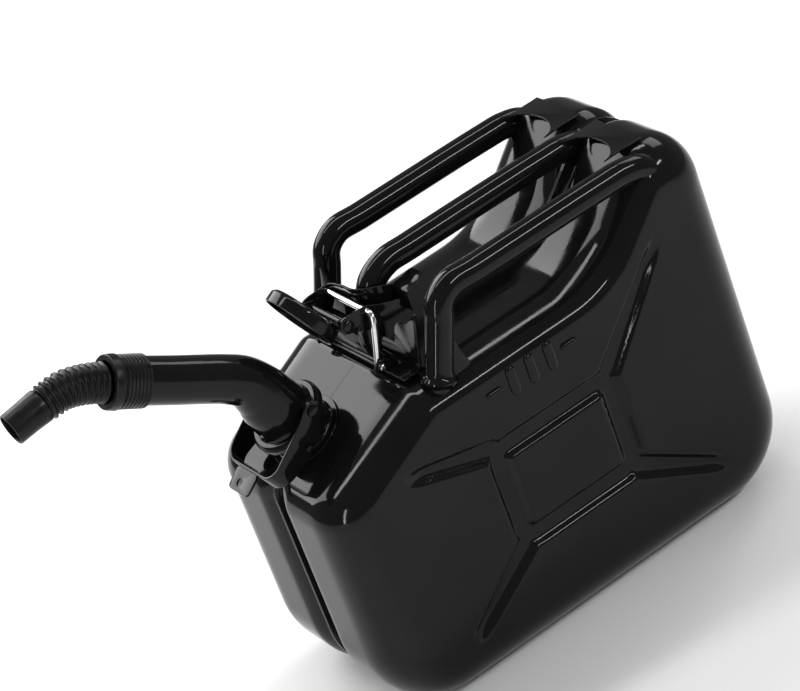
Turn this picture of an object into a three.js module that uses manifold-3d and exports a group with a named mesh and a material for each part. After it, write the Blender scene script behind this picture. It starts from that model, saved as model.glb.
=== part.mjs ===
// A steel jerry can with a clamped pouring spout, in millimetres, +Z up.
// It is drawn around the middle of the can body (mouth towards -X) and then shifted along X,
// so that the origin lies under the middle of the whole object.
import * as THREE from 'three';
import { mergeVertices } from 'three/addons/utils/BufferGeometryUtils.js';
import Module from 'manifold-3d';

const wasm = await Module();
wasm.setup();

// ---- driving dimensions ----
const BODY_LENGTH = 345;
const BODY_WIDTH = 165;
const HUMP_TOP = 281;          // highest point of the two half shells
const SHEET = 1.2;             // thickness of the body's sheet steel
const GAP = 0.3;               // clearance between pieces that touch
const SEAM_DEPTH = 10;         // how far the shells turn in towards their weld flange
const SEAM_HALF_WIDTH = 19;
const FLANGE_INSET = 2.5;      // weld flange's edge below the shell's surface
const FACE_FILLET = 34;        // rounding between a large face and the narrow sides
const GROOVE_DEPTH = 5;        // pressed star pattern on the large faces
const GROOVE_SLOPE = 4;

const SHOULDER_FRONT = [-BODY_LENGTH / 2, 178];
const DECK_FRONT = [-82, 221];
const SHOULDER_TILT = Math.atan2(DECK_FRONT[1] - SHOULDER_FRONT[1], DECK_FRONT[0] - SHOULDER_FRONT[0]);

const NECK_X = -132;           // where the neck's axis meets the shoulder
const NECK_RADIUS = 22;
const NECK_HEIGHT = 19.5;
const FLANGE_RADIUS = 27.5;    // spout's base cup

const BAR_RADIUS = 9.5;        // handle bars
const BAR_WALL = 1.3;
const BAR_SPACING = 68.6;
const BAR_TOP = 283;

const BAIL_RADIUS = 2.2;       // closure wire
const BAIL_PIVOT = [-81, 229.5];
const BAIL_TOP = [-72, 264];
const BAIL_HALF_WIDTH = 32;
const CAP_RADIUS = 26;
const CAP_DEPTH = 10;
const CAP_FACE = [-109, 270];  // middle of the open cap's rim
const CAP_TILT = 63.5 * Math.PI / 180;
const CAP_PIN_LOCAL = [17, 15.5];
const LEVER_HALF_WIDTH = 24.8;
const LEVER_SHEET = 1.6;

// ---- small geometry helpers ----
const paint = { color: 0x0b0b0c, roughness: 0.16, metalness: 0.35 };
const zinc = { color: 0xb9bcc0, roughness: 0.28, metalness: 0.95 };
const rubber = { color: 0x121212, roughness: 0.8, metalness: 0 };
const plastic = { color: 0x0e0e0f, roughness: 0.38, metalness: 0 };

function solid(geometry, matrix = null) {
  let g = geometry.clone();
  if (matrix) g.applyMatrix4(matrix);
  g.deleteAttribute('normal');
  g.deleteAttribute('uv');
  g = mergeVertices(g, 1e-4);
  return new wasm.Manifold(new wasm.Mesh({
    numProp: 3,
    vertProperties: new Float32Array(g.attributes.position.array),
    triVerts: new Uint32Array(g.index.array),
  }));
}

function geometryOf(manifold) {
  const mesh = manifold.getMesh();
  const g = new THREE.BufferGeometry();
  g.setAttribute('position', new THREE.BufferAttribute(new Float32Array(mesh.vertProperties), 3));
  g.setIndex(new THREE.BufferAttribute(new Uint32Array(mesh.triVerts), 1));
  g.computeVertexNormals();
  return g;
}

function piece(name, geometry, look) {
  const mesh = new THREE.Mesh(geometry, new THREE.MeshStandardMaterial(look));
  mesh.name = name;
  return mesh;
}

// A closed mesh from a list of rings with the same number of points, capped or joined end to start.
function loft(rings, { loop = false } = {}) {
  const count = rings[0].length;
  const positions = rings.flat().flatMap((p) => [p.x, p.y, p.z]);
  const index = [];
  const bands = loop ? rings.length : rings.length - 1;
  for (let r = 0; r < bands; r++) {
    const next = (r + 1) % rings.length;
    for (let i = 0; i < count; i++) {
      const j = (i + 1) % count;
      const a = r * count + i;
      const b = r * count + j;
      const c = next * count + i;
      const d = next * count + j;
      index.push(a, b, d, a, d, c);
    }
  }
  if (!loop) {
    for (const [ring, flip] of [[0, true], [rings.length - 1, false]]) {
      for (const [a, b, c] of capTriangles(rings[ring])) {
        const o = ring * count;
        index.push(...(flip ? [o + a, o + c, o + b] : [o + a, o + b, o + c]));
      }
    }
  }
  const g = new THREE.BufferGeometry();
  g.setAttribute('position', new THREE.Float32BufferAttribute(positions, 3));
  g.setIndex(index);
  return outward(g);
}

function capTriangles(ring) {
  const normal = new THREE.Vector3();
  ring.forEach((p, i) => normal.add(new THREE.Vector3().crossVectors(p, ring[(i + 1) % ring.length])));
  const turn = new THREE.Quaternion().setFromUnitVectors(normal.normalize(), new THREE.Vector3(0, 0, 1));
  const flat = ring.map((p) => {
    const q = p.clone().applyQuaternion(turn);
    return new THREE.Vector2(q.x, q.y);
  });
  return THREE.ShapeUtils.triangulateShape(flat, []);
}

// Turns every face round if the mesh encloses a negative volume.
function outward(g) {
  const p = g.attributes.position;
  const index = g.index.array;
  let volume = 0;
  const v = [new THREE.Vector3(), new THREE.Vector3(), new THREE.Vector3()];
  for (let i = 0; i < index.length; i += 3) {
    v.forEach((corner, k) => corner.fromBufferAttribute(p, index[i + k]));
    volume += v[0].dot(v[1].clone().cross(v[2]));
  }
  if (volume < 0) {
    for (let i = 0; i < index.length; i += 3) {
      [index[i + 1], index[i + 2]] = [index[i + 2], index[i + 1]];
    }
  }
  return g;
}

// Rings of a round section carried along a path without twisting.
function sectionRings(path, radii, sides) {
  const rings = [];
  let side = null;
  path.forEach((p, i) => {
    const before = path[Math.max(i - 1, 0)];
    const after = path[Math.min(i + 1, path.length - 1)];
    const along = after.clone().sub(before).normalize();
    if (!side) {
      const seed = Math.abs(along.y) < 0.9 ? new THREE.Vector3(0, 1, 0) : new THREE.Vector3(1, 0, 0);
      side = seed.sub(along.clone().multiplyScalar(seed.dot(along))).normalize();
    } else {
      side = side.clone().sub(along.clone().multiplyScalar(side.dot(along))).normalize();
    }
    const up = new THREE.Vector3().crossVectors(along, side);
    const ring = [];
    for (let k = 0; k < sides; k++) {
      const a = (k / sides) * Math.PI * 2;
      ring.push(p.clone()
        .add(side.clone().multiplyScalar(Math.cos(a) * radii[i]))
        .add(up.clone().multiplyScalar(Math.sin(a) * radii[i])));
    }
    rings.push(ring);
  });
  return rings;
}

const rodGeometry = (path, radius, sides) => loft(sectionRings(path, path.map(() => radius), sides));

function tubeGeometry(path, outer, inner, sides) {
  const outside = sectionRings(path, outer, sides);
  const inside = sectionRings(path, inner, sides);
  return loft([...outside, ...inside.reverse()], { loop: true });
}

const inPlane = (points) => points.map(([x, z]) => new THREE.Vector3(x, 0, z));

// Points along a smooth curve through the given ones.
function smooth(points, count) {
  return new THREE.CatmullRomCurve3(points, false, 'centripetal').getPoints(count);
}

// A polygon in the XZ plane, extruded across Y between two values.
function acrossY(points, y0, y1, holes = []) {
  const shape = new THREE.Shape(points.map(([x, z]) => new THREE.Vector2(x, z)));
  for (const [x, z, r] of holes) {
    shape.holes.push(new THREE.Path().absarc(x, z, r, 0, Math.PI * 2, true));
  }
  const g = new THREE.ExtrudeGeometry(shape, { depth: y1 - y0, bevelEnabled: false, curveSegments: 8 });
  g.rotateX(Math.PI / 2);
  g.translate(0, y1, 0);
  return g;
}

// A polygon in the XY plane, extruded up between two heights.
function upZ(points, z0, z1) {
  const shape = new THREE.Shape(points.map(([x, y]) => new THREE.Vector2(x, y)));
  const g = new THREE.ExtrudeGeometry(shape, { depth: z1 - z0, bevelEnabled: false });
  g.translate(0, 0, z0);
  return g;
}

function cylinderY(x, z, radius, y0, y1, sides = 12) {
  const g = new THREE.CylinderGeometry(radius, radius, y1 - y0, sides);
  g.translate(x, (y0 + y1) / 2, z);
  return g;
}

function cylinderZ(radius, z0, z1, sides = 28) {
  const g = new THREE.CylinderGeometry(radius, radius, z1 - z0, sides);
  g.rotateX(Math.PI / 2);
  g.translate(0, 0, (z0 + z1) / 2);
  return g;
}

// A turned piece about Z from a closed [radius, height] profile.
function turned(profile, segments = 28) {
  const closed = [...profile, profile[0]].map(([r, h]) => new THREE.Vector2(r, h));
  const g = mergeVertices(stripped(new THREE.LatheGeometry(closed, segments)), 1e-4);
  g.rotateX(Math.PI / 2);
  return outward(g);
}

function stripped(g) {
  g.deleteAttribute('normal');
  g.deleteAttribute('uv');
  return g;
}

// ---- the body's side outline ----
// Corners run from the front bottom, under the can, up the rear, over the hump, down into the
// hand scoop, along the deck and down the sloping shoulder. "face" is the matching corner of
// the flat large face. "seam" says how deep the seam channel is at the start and end of an arc.
const OUTLINE = [
  { at: [-BODY_LENGTH / 2, 0], radius: 56, face: [-142, 32], faceRadius: 30, steps: 7, seam: [1, 1] },
  { at: [BODY_LENGTH / 2, 0], radius: 56, face: [142, 32], faceRadius: 30, steps: 7, seam: [1, 1] },
  { at: [BODY_LENGTH / 2, HUMP_TOP], radius: 35, face: [144, 250], faceRadius: 14, steps: 6, seam: [1, 1] },
  { at: [128, HUMP_TOP], radius: 14, face: [126, 250], faceRadius: 8, steps: 3, seam: [1, 1] },
  { at: [68, 222], radius: 80, face: [74, 204], faceRadius: 80, steps: 7, seam: [0.3, 0] },
  { at: DECK_FRONT, radius: 12, face: [-78, 203], faceRadius: 12, steps: 2, seam: [0, 0] },
  { at: SHOULDER_FRONT, radius: 25, face: [-142, 170], faceRadius: 12, steps: 5, seam: [0, 1] },
];
const FACE_OUTLINE = OUTLINE.map((corner) => ({ ...corner, at: corner.face, radius: corner.faceRadius }));
const SMALLEST_RADIUS = 3;

// Points of a rounded outline, moved inwards by an amount that may depend on the seam's depth.
function outlinePoints(corners, insetAt) {
  const points = [];
  const count = corners.length;
  corners.forEach((corner, c) => {
    const before = new THREE.Vector2(...corners[(c + count - 1) % count].at);
    const here = new THREE.Vector2(...corner.at);
    const after = new THREE.Vector2(...corners[(c + 1) % count].at);
    const a = here.clone().sub(before).normalize();
    const b = after.clone().sub(here).normalize();
    const turn = Math.atan2(a.cross(b), a.dot(b));
    const sense = Math.sign(turn);
    const stretch = 1 / Math.cos(turn / 2);
    const inward = new THREE.Vector2(-a.y - b.y, a.x + b.x).normalize();
    for (let k = 0; k <= corner.steps; k++) {
      const f = k / corner.steps;
      const inset = insetAt(corner.seam[0] + (corner.seam[1] - corner.seam[0]) * f);
      const radius = Math.max(corner.radius - inset * sense, SMALLEST_RADIUS);
      const centre = here.clone().addScaledVector(inward, (inset + sense * radius) * stretch);
      const angle = Math.atan2(-a.x * sense, a.y * sense) + turn * f;
      points.push([centre.x + radius * Math.cos(angle), centre.y + radius * Math.sin(angle)]);
    }
  });
  return points;
}

function channelInset(y) {
  const f = (SEAM_HALF_WIDTH - y) / (SEAM_HALF_WIDTH - 2);
  return SEAM_DEPTH * THREE.MathUtils.clamp(f, 0, 1) ** 1.5;
}

const FILLET_START = BODY_WIDTH / 2 - FACE_FILLET;
const FILLET_STEPS = 6;

// One ring of the body's skin: "wall" shifts it inwards, "rise" is the angle along the fillet.
function bodyRing(y, side, wall, rise, channel) {
  const edge = outlinePoints(OUTLINE, (seam) => wall + channel * seam);
  const face = outlinePoints(FACE_OUTLINE, () => 0);
  const mix = 1 - Math.cos(rise);
  return edge.map(([x, z], i) => new THREE.Vector3(
    x + (face[i][0] - x) * mix, side * y, z + (face[i][1] - z) * mix));
}

function filletRings(side, wall) {
  const rings = [];
  for (let k = 0; k <= FILLET_STEPS; k++) {
    const rise = (k / FILLET_STEPS) * Math.PI / 2;
    rings.push(bodyRing(FILLET_START + (FACE_FILLET - wall) * Math.sin(rise), side, wall, rise, 0));
  }
  return rings;
}

// One half of the body as a solid block; wall shifts its whole surface inwards.
function halfBlock(side, wall, withFlange) {
  const channelStations = [1.351, 4, 8, 13, SEAM_HALF_WIDTH];
  const rings = channelStations.map((y) => bodyRing(y, side, wall, 0, channelInset(Math.max(y, 2))));
  if (withFlange) {
    rings.unshift(...[GAP / 2, 1.35].map((y) => bodyRing(y, side, wall, 0, FLANGE_INSET)));
  } else {
    rings.unshift(bodyRing(-1, side, wall, 0, SEAM_DEPTH));
  }
  return solid(loft([...rings, ...filletRings(side, wall)]));
}

// A block that stands clear of the whole body by the given amount; pieces are trimmed with it.
function bodyEnvelope(clearance) {
  return solid(loft([...filletRings(-1, -clearance).reverse(), ...filletRings(1, -clearance)]));
}

// ---- the pressed star on each large face ----
const PANEL = { halfWidth: 42, bottom: 88, top: 149 };
const BAND = 10;               // floor width of the groove around the panel
const RIBS = [
  { from: [-50, 158], to: [-118, 177] },
  { from: [-50, 80], to: [-111, 37] },
  { from: [50, 80], to: [117, 39] },
  { from: [50, 158], to: [117, 227] },
];
const RIB_WIDTH = [10, 4];

function grooveShapes() {
  const { halfWidth: w, bottom, top } = PANEL;
  const band = new THREE.Shape([
    new THREE.Vector2(-w - BAND - 4, bottom - BAND - 4), new THREE.Vector2(w + BAND + 4, bottom - BAND - 4),
    new THREE.Vector2(w + BAND + 4, top + BAND + 4), new THREE.Vector2(-w - BAND - 4, top + BAND + 4),
  ]);
  band.holes.push(new THREE.Path([
    new THREE.Vector2(-w - 4, bottom - 4), new THREE.Vector2(-w - 4, top + 4),
    new THREE.Vector2(w + 4, top + 4), new THREE.Vector2(w + 4, bottom - 4),
  ]));
  const ribs = RIBS.map(({ from, to }) => {
    const a = new THREE.Vector2(...from);
    const b = new THREE.Vector2(...to);
    const across = b.clone().sub(a).normalize().rotateAround(new THREE.Vector2(), Math.PI / 2);
    return new THREE.Shape([
      a.clone().addScaledVector(across, -RIB_WIDTH[0] / 2), b.clone().addScaledVector(across, -RIB_WIDTH[1] / 2),
      b.clone().addScaledVector(across, RIB_WIDTH[1] / 2), a.clone().addScaledVector(across, RIB_WIDTH[0] / 2),
    ]);
  });
  return [band, ...ribs];
}

// The grooves as a solid whose floor lies "depth" inside the large face.
function grooveSolid(side, depth, widen) {
  let all = null;
  for (const shape of grooveShapes()) {
    const g = new THREE.ExtrudeGeometry(shape, {
      depth: 12, bevelEnabled: true, bevelSegments: 1, steps: 1,
      bevelSize: GROOVE_SLOPE, bevelThickness: GROOVE_SLOPE, bevelOffset: widen,
    });
    g.translate(0, 0, GROOVE_SLOPE - depth);
    const place = new THREE.Matrix4().makeBasis(
      new THREE.Vector3(1, 0, 0), new THREE.Vector3(0, 0, 1), new THREE.Vector3(0, side, 0));
    place.setPosition(0, side * BODY_WIDTH / 2, 0);
    g.applyMatrix4(place);
    const part = solid(outward(mergeVertices(stripped(g), 1e-4)));
    all = all ? all.add(part) : part;
  }
  return all;
}

// ---- neck frame: local Z is the neck's axis, local X runs up and back along the shoulder ----
const NECK_BASE = [
  NECK_X, SHOULDER_FRONT[1] + (NECK_X - SHOULDER_FRONT[0]) * Math.tan(SHOULDER_TILT),
];
const neckPlace = new THREE.Matrix4().makeRotationY(-SHOULDER_TILT).setPosition(NECK_BASE[0], 0, NECK_BASE[1]);

function shellGeometry(side) {
  const skin = halfBlock(side, 0, true).subtract(grooveSolid(side, GROOVE_DEPTH, 0));
  const hollow = halfBlock(side, SHEET, false).subtract(grooveSolid(side, GROOVE_DEPTH + SHEET, 0.8));
  const mouth = solid(cylinderZ(NECK_RADIUS + GAP, -14, 14), neckPlace);
  return geometryOf(skin.subtract(hollow).subtract(mouth));
}

// ---- handles ----
const barHeight = BAR_TOP - BAR_RADIUS;
const BAR_REAR = [[137, 258], [126, 269], [112, barHeight - 0.6], [96, barHeight]];

const barPath = (y, front) => smooth(inPlane([...BAR_REAR, ...front]), 22).map((p) => p.setY(y));

function barGeometry(y, front) {
  const path = barPath(y, front);
  const outer = path.map(() => BAR_RADIUS);
  const inner = path.map(() => BAR_RADIUS - BAR_WALL);
  const bar = solid(tubeGeometry(path, outer, inner, 12));
  return geometryOf(bar.subtract(bodyEnvelope(GAP)));
}

const OUTER_FRONT = [[-10, barHeight], [-31, barHeight], [-41.5, 266.5], [-46.5, 254], [-59, 222], [-67, 200]];
const CENTRE_FRONT = [[-16, barHeight], [-36, 273], [-50, 266], [-57, 253], [-62, 236], [-65, 212]];

// the space the centre bar needs in the pieces it passes through
const centreBarRoom = () => solid(rodGeometry(barPath(0, CENTRE_FRONT), BAR_RADIUS + GAP, 24));

// leaning sheet in front of the bars' feet; the heights are measured along the sheet
const PLATE = {
  foot: [-66.5, 224.3], top: [-56.5, 262], sheet: 1.5, halfWidth: 58.4, sideHeight: 28, middleHeight: 12,
};

function frontPlateGeometry() {
  const lean = Math.atan2(PLATE.top[0] - PLATE.foot[0], PLATE.top[1] - PLATE.foot[1]);
  const tall = Math.hypot(PLATE.top[0] - PLATE.foot[0], PLATE.top[1] - PLATE.foot[1]);
  const w = PLATE.halfWidth;
  const shape = new THREE.Shape();
  shape.moveTo(-w, 0);
  shape.lineTo(w, 0);
  shape.lineTo(w, tall);
  shape.lineTo(w - 2, tall);
  shape.quadraticCurveTo(w - 6, PLATE.sideHeight, w - 16, PLATE.sideHeight);
  shape.lineTo(38, PLATE.sideHeight);
  shape.quadraticCurveTo(31, PLATE.sideHeight, 30, PLATE.middleHeight);
  shape.lineTo(-30, PLATE.middleHeight);
  shape.quadraticCurveTo(-31, PLATE.sideHeight, -38, PLATE.sideHeight);
  shape.lineTo(16 - w, PLATE.sideHeight);
  shape.quadraticCurveTo(6 - w, PLATE.sideHeight, 2 - w, tall);
  shape.lineTo(-w, tall);
  const g = new THREE.ExtrudeGeometry(shape, { depth: PLATE.sheet, bevelEnabled: false, curveSegments: 8 });
  const basis = new THREE.Matrix4().makeBasis(
    new THREE.Vector3(0, 1, 0), new THREE.Vector3(Math.sin(lean), 0, Math.cos(lean)),
    new THREE.Vector3(Math.cos(lean), 0, -Math.sin(lean)));
  basis.setPosition(PLATE.foot[0], 0, PLATE.foot[1]);
  const upright = solid(g, basis);
  const foot = new THREE.BoxGeometry(14, 2 * w, PLATE.sheet);
  foot.translate(PLATE.foot[0] - 6, 0, PLATE.foot[1] + PLATE.sheet / 2);
  return geometryOf(upright.add(solid(foot)).subtract(bodyEnvelope(GAP)).subtract(centreBarRoom()));
}

const REAR_PLATE = { front: 108, rear: 140, slot: 16, z: [HUMP_TOP + 0.4, BAR_TOP - 0.4] };

// A flat web between the centre bar and one outer bar, with a round-ended slot open to the front.
function rearPlateGeometry(s) {
  const outer = BAR_SPACING - BAR_RADIUS - GAP;
  const inner = BAR_RADIUS + GAP;
  const middle = (outer + inner) / 2;
  const half = (outer - inner) / 2;
  const shape = new THREE.Shape();
  shape.moveTo(REAR_PLATE.front, -half);
  shape.absellipse(REAR_PLATE.front, 0, REAR_PLATE.slot, half - 0.01, -Math.PI / 2, Math.PI / 2, false, 0);
  shape.lineTo(REAR_PLATE.rear, half);
  shape.lineTo(REAR_PLATE.rear, -half);
  const g = new THREE.ExtrudeGeometry(shape, {
    depth: REAR_PLATE.z[1] - REAR_PLATE.z[0], bevelEnabled: false, curveSegments: 12,
  });
  g.translate(0, s * middle, REAR_PLATE.z[0]);
  return g;
}

// ---- closure ----
const EAR = { sheet: 1.6, y: BAIL_HALF_WIDTH + 3.2 };

function hingeBracketGeometry() {
  const [x, z] = BAIL_PIVOT;
  const base = new THREE.BoxGeometry(9, 2 * (EAR.y + EAR.sheet), 1.5);
  base.translate(x + 7.5, 0, PLATE.foot[1] + PLATE.sheet + GAP + 0.75);
  let bracket = solid(base);
  for (const s of [-1, 1]) {
    const outline = [
      [x - 5.5, z - 2], [x - 3, z + 4.5], [x + 3, z + 4.5], [x + 12, PLATE.foot[1] + PLATE.sheet + 1.8],
      [x + 12, PLATE.foot[1] + PLATE.sheet + GAP], [x - 2, PLATE.foot[1] + PLATE.sheet + GAP],
    ];
    const y0 = s > 0 ? EAR.y : -EAR.y - EAR.sheet;
    const ear = solid(acrossY(outline, y0, y0 + EAR.sheet))
      .subtract(solid(cylinderY(x, z, BAIL_RADIUS + 0.3, y0 - 1, y0 + EAR.sheet + 1)));
    bracket = bracket.add(ear);
  }
  return geometryOf(bracket.subtract(centreBarRoom()));
}

function bailGeometry() {
  const [px, pz] = BAIL_PIVOT;
  const [tx, tz] = BAIL_TOP;
  const w = BAIL_HALF_WIDTH;
  const side = (s) => [
    [px, s * (EAR.y + EAR.sheet + 2), pz], [px, s * (w + 1.8), pz], [px + 0.4, s * w, pz + 1.6],
    [px + 1.2, s * w, pz + 5], [tx - 1.2, s * w, tz - 5], [tx - 0.3, s * (w - 1.6), tz - 1.4], [tx, s * (w - 5), tz],
  ];
  const points = [...side(-1), ...side(1).reverse()].map((p) => new THREE.Vector3(...p));
  return rodGeometry(points, BAIL_RADIUS, 10);
}

const capAxis = [Math.sin(CAP_TILT), Math.cos(CAP_TILT)];
const CAP_PIN = [
  CAP_FACE[0] + CAP_PIN_LOCAL[0] * capAxis[1] + CAP_PIN_LOCAL[1] * capAxis[0],
  CAP_FACE[1] - CAP_PIN_LOCAL[0] * capAxis[0] + CAP_PIN_LOCAL[1] * capAxis[1],
];
const PIN_RADIUS = 2.5;

// A band of sheet of the given thickness along a plan, between two heights.
function bandUpZ(plan, thickness, z0, z1) {
  const edge = (side) => plan.map(([x, y], i) => {
    const [ax, ay] = plan[Math.max(i - 1, 0)];
    const [bx, by] = plan[Math.min(i + 1, plan.length - 1)];
    const length = Math.hypot(bx - ax, by - ay);
    return [x - side * (by - ay) / length * thickness / 2, y + side * (bx - ax) / length * thickness / 2];
  });
  return upZ([...edge(1), ...edge(-1).reverse()], z0, z1);
}

// The lever's far wall turns in behind the wire, crosses in front of the centre bar and runs back
// along the bar's near side, where it meets the near arm's floor, the cross wall and the thumb tab.
const WALL_PLAN = [[-70, 24], [-68.8, 21], [-67.5, 8], [-66.8, -3], [-63, -9.8], [-57, -12.8], [-43.2, -13.4]];
const WALL_SIDE = [
  [-72, 268.7], [-67.6, 271.2], [-60, 271.2], [-57, 270], [-42, 264], [-42, 249], [-58, 249], [-61.5, 259],
  [-66, 259.5], [-72, 256],
];
const TAB = { x: [-44, -25.7], y: [-31, -12.6], z: [264, 266.4] };

function leverGeometry() {
  const w = LEVER_HALF_WIDTH;
  const t = LEVER_SHEET;
  const [px, pz] = CAP_PIN;
  const front = [
    [px + 1, pz - 6], [px - 4, pz - 4.6], [px - 6, pz - 1], [px - 5.5, pz + 2], [px - 4, pz + 5.3], [px, pz + 6.6],
  ];
  const farArm = [...front, [-71, 268.7], [-68.6, 268.7], [-68.6, 257], [-73, 250.3]];
  const nearArm = [
    ...front, [-71, 267.6], [-61, 262.5], [-52, 259.5], [TAB.x[0] + t, 257], [TAB.x[0] + t, 248.4], [-62, 248.4],
    [-73, 250.3],
  ];
  const frontFloor = [[-79, 251.9], [-79, 253.5], [-73, 251.9], [-73, 250.3]];
  const nearFloor = [
    [-74, 250.5], [-74, 252.1], [-62, 250], [TAB.x[0] + t, 250], [TAB.x[0] + t, 248.4], [-62, 248.4],
  ];
  const crossWall = [[TAB.x[0], 249], [TAB.x[0] + t, 249], [TAB.x[0] + t, TAB.z[0] - 1], [TAB.x[0], TAB.z[0] - 1]];
  const tab = [
    [TAB.x[0], TAB.z[0] - 1.4], [TAB.x[0] + t, TAB.z[0] - t], [TAB.x[1], TAB.z[1] - t], [TAB.x[1], TAB.z[1]],
    [TAB.x[0] + 1.2, TAB.z[0]],
  ];
  const wall = solid(bandUpZ(WALL_PLAN, t, 240, 280)).intersect(solid(acrossY(WALL_SIDE, -30, 30)));
  const parts = [
    acrossY(nearArm, -w, t - w), acrossY(frontFloor, 0.5 - w, w - 0.5), acrossY(nearFloor, 0.5 - w, -13),
    acrossY(crossWall, ...TAB.y), acrossY(tab, ...TAB.y),
  ];
  let lever = solid(acrossY(farArm, w - t, w)).add(wall);
  for (const part of parts) lever = lever.add(solid(part));
  lever = lever.subtract(solid(cylinderY(px, pz, PIN_RADIUS + 0.3, -w - 2, w + 2)));
  lever = lever.subtract(solid(cylinderY(BAIL_TOP[0], BAIL_TOP[1], BAIL_RADIUS + 0.4, -w - 2, w + 2)));
  return geometryOf(lever);
}

function capPinGeometry() {
  const [x, z] = CAP_PIN;
  const w = LEVER_HALF_WIDTH;
  let pin = solid(cylinderY(x, z, PIN_RADIUS, -w - 1, w + 1));
  for (const s of [-1, 1]) {
    const y = s * (w + 1.1);
    pin = pin.add(solid(cylinderY(x, z, 4.2, y - 0.8, y + 0.8)));
  }
  return geometryOf(pin);
}

const capPlace = new THREE.Matrix4().makeRotationY(CAP_TILT).setPosition(CAP_FACE[0], 0, CAP_FACE[1]);

function capShellGeometry() {
  const r = CAP_RADIUS;
  return turned([
    [r - 1.4, 0], [r, 0], [r, CAP_DEPTH - 2.4], [r - 2.4, CAP_DEPTH], [0.001, CAP_DEPTH],
    [0.001, CAP_DEPTH - 1.4], [r - 3, CAP_DEPTH - 1.4], [r - 1.4, CAP_DEPTH - 3],
  ]).applyMatrix4(capPlace);
}

function capGasketGeometry() {
  const r = CAP_RADIUS - 1.4 - GAP;
  return turned([
    [r - 9, 3], [r, 3], [r, 6], [r - 1.6, 8], [r - 9, 8],
  ]).applyMatrix4(capPlace);
}

function capBracketGeometry() {
  const strap = new THREE.BoxGeometry(16, 44, 1.5);
  strap.translate(14, 0, CAP_DEPTH + GAP + 0.75);
  let bracket = solid(strap);
  const [lx, lz] = CAP_PIN_LOCAL;
  for (const s of [-1, 1]) {
    const outline = [
      [lx - 8, CAP_DEPTH + GAP], [lx + 5, CAP_DEPTH + GAP], [lx + 5, lz + 1.5], [lx + 2.5, lz + 4.4],
      [lx - 2.5, lz + 4.4], [lx - 6, lz],
    ];
    const y0 = s > 0 ? 20.5 : -22;
    bracket = bracket.add(solid(acrossY(outline, y0, y0 + 1.5)));
  }
  bracket = bracket.subtract(solid(cylinderY(lx, lz, PIN_RADIUS + 0.3, -24, 24)));
  return geometryOf(bracket).applyMatrix4(capPlace);
}

// ---- neck ----
function neckTubeGeometry() {
  const r = NECK_RADIUS;
  const w = 1.5;
  return turned([
    [r - w, -9], [r, -9], [r, GAP], [r + 5, GAP], [r + 5, GAP + 1.3], [r + 1.2, GAP + 1.5], [r, GAP + 3],
    [r, NECK_HEIGHT - 3.4], [r + 1.8, NECK_HEIGHT - 2.2], [r + 1.8, NECK_HEIGHT - 0.8], [r + 0.8, NECK_HEIGHT],
    [r - w, NECK_HEIGHT],
  ]).applyMatrix4(neckPlace);
}

function ventTubeGeometry() {
  const path = smooth([[15.2, 0, 15], [15.2, 0, -6], [18, 0, -30], [30, 0, -48]].map((p) => new THREE.Vector3(...p)), 8);
  return tubeGeometry(path, path.map(() => 4), path.map(() => 3.2), 8).applyMatrix4(neckPlace);
}

const STUD = [-10, 12];
const STUD_RADIUS = 2.4;

function neckStudGeometry(s) {
  const stud = solid(cylinderY(STUD[0], STUD[1], STUD_RADIUS, s > 0 ? 12 : -31.6, s > 0 ? 31.6 : -12));
  const wall = solid(cylinderZ(NECK_RADIUS + GAP, -5, 30));
  return geometryOf(stud.subtract(wall)).applyMatrix4(neckPlace);
}

// ---- spout ----
const YOKE_PIVOT = [10.5, 27];
const YOKE_Y = 28.4;
const YOKE_SHEET = 1.6;

function spoutFlangeGeometry() {
  const r = FLANGE_RADIUS;
  const roof = NECK_HEIGHT + 1.6;
  let cup = solid(turned([
    [r - 1.6, 16.6], [r, 16.6], [r, roof], [r - 2, roof + 2], [18, roof + 2], [18, roof], [r - 1.6, roof],
  ]));
  for (const s of [-1, 1]) {
    const [px, ph] = YOKE_PIVOT;
    const outline = [
      [px - 12, 17], [px + 8, 17], [px + 6, ph + 2], [px + 2.5, ph + 5.4], [px - 2.5, ph + 5.4], [px - 6, ph + 1],
    ];
    const y0 = s > 0 ? FLANGE_RADIUS - 1.5 : -FLANGE_RADIUS;
    cup = cup.add(solid(acrossY(outline, y0, y0 + 1.5)));
  }
  cup = cup.subtract(solid(cylinderY(YOKE_PIVOT[0], YOKE_PIVOT[1], PIN_RADIUS + 0.3, -40, 40)));
  return geometryOf(cup).applyMatrix4(neckPlace);
}

function spoutGasketGeometry() {
  const low = NECK_HEIGHT + GAP;
  return turned([[18.4, low], [24.6, low], [24.6, low + 1], [18.4, low + 1]]).applyMatrix4(neckPlace);
}

function clampRivetGeometry(s) {
  const [px, ph] = YOKE_PIVOT;
  const from = FLANGE_RADIUS - 3.4;
  const out = YOKE_Y + YOKE_SHEET;
  const span = (a, b) => (s > 0 ? [a, b] : [-b, -a]);
  let rivet = solid(cylinderY(px, ph, PIN_RADIUS, ...span(from, out + 0.6)));
  rivet = rivet.add(solid(cylinderY(px, ph, 4.2, ...span(out + GAP, out + 1.8))));
  rivet = rivet.add(solid(cylinderY(px, ph, 3.8, ...span(from - 0.6, from + 1.5))));
  return geometryOf(rivet).applyMatrix4(neckPlace);
}

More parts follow.
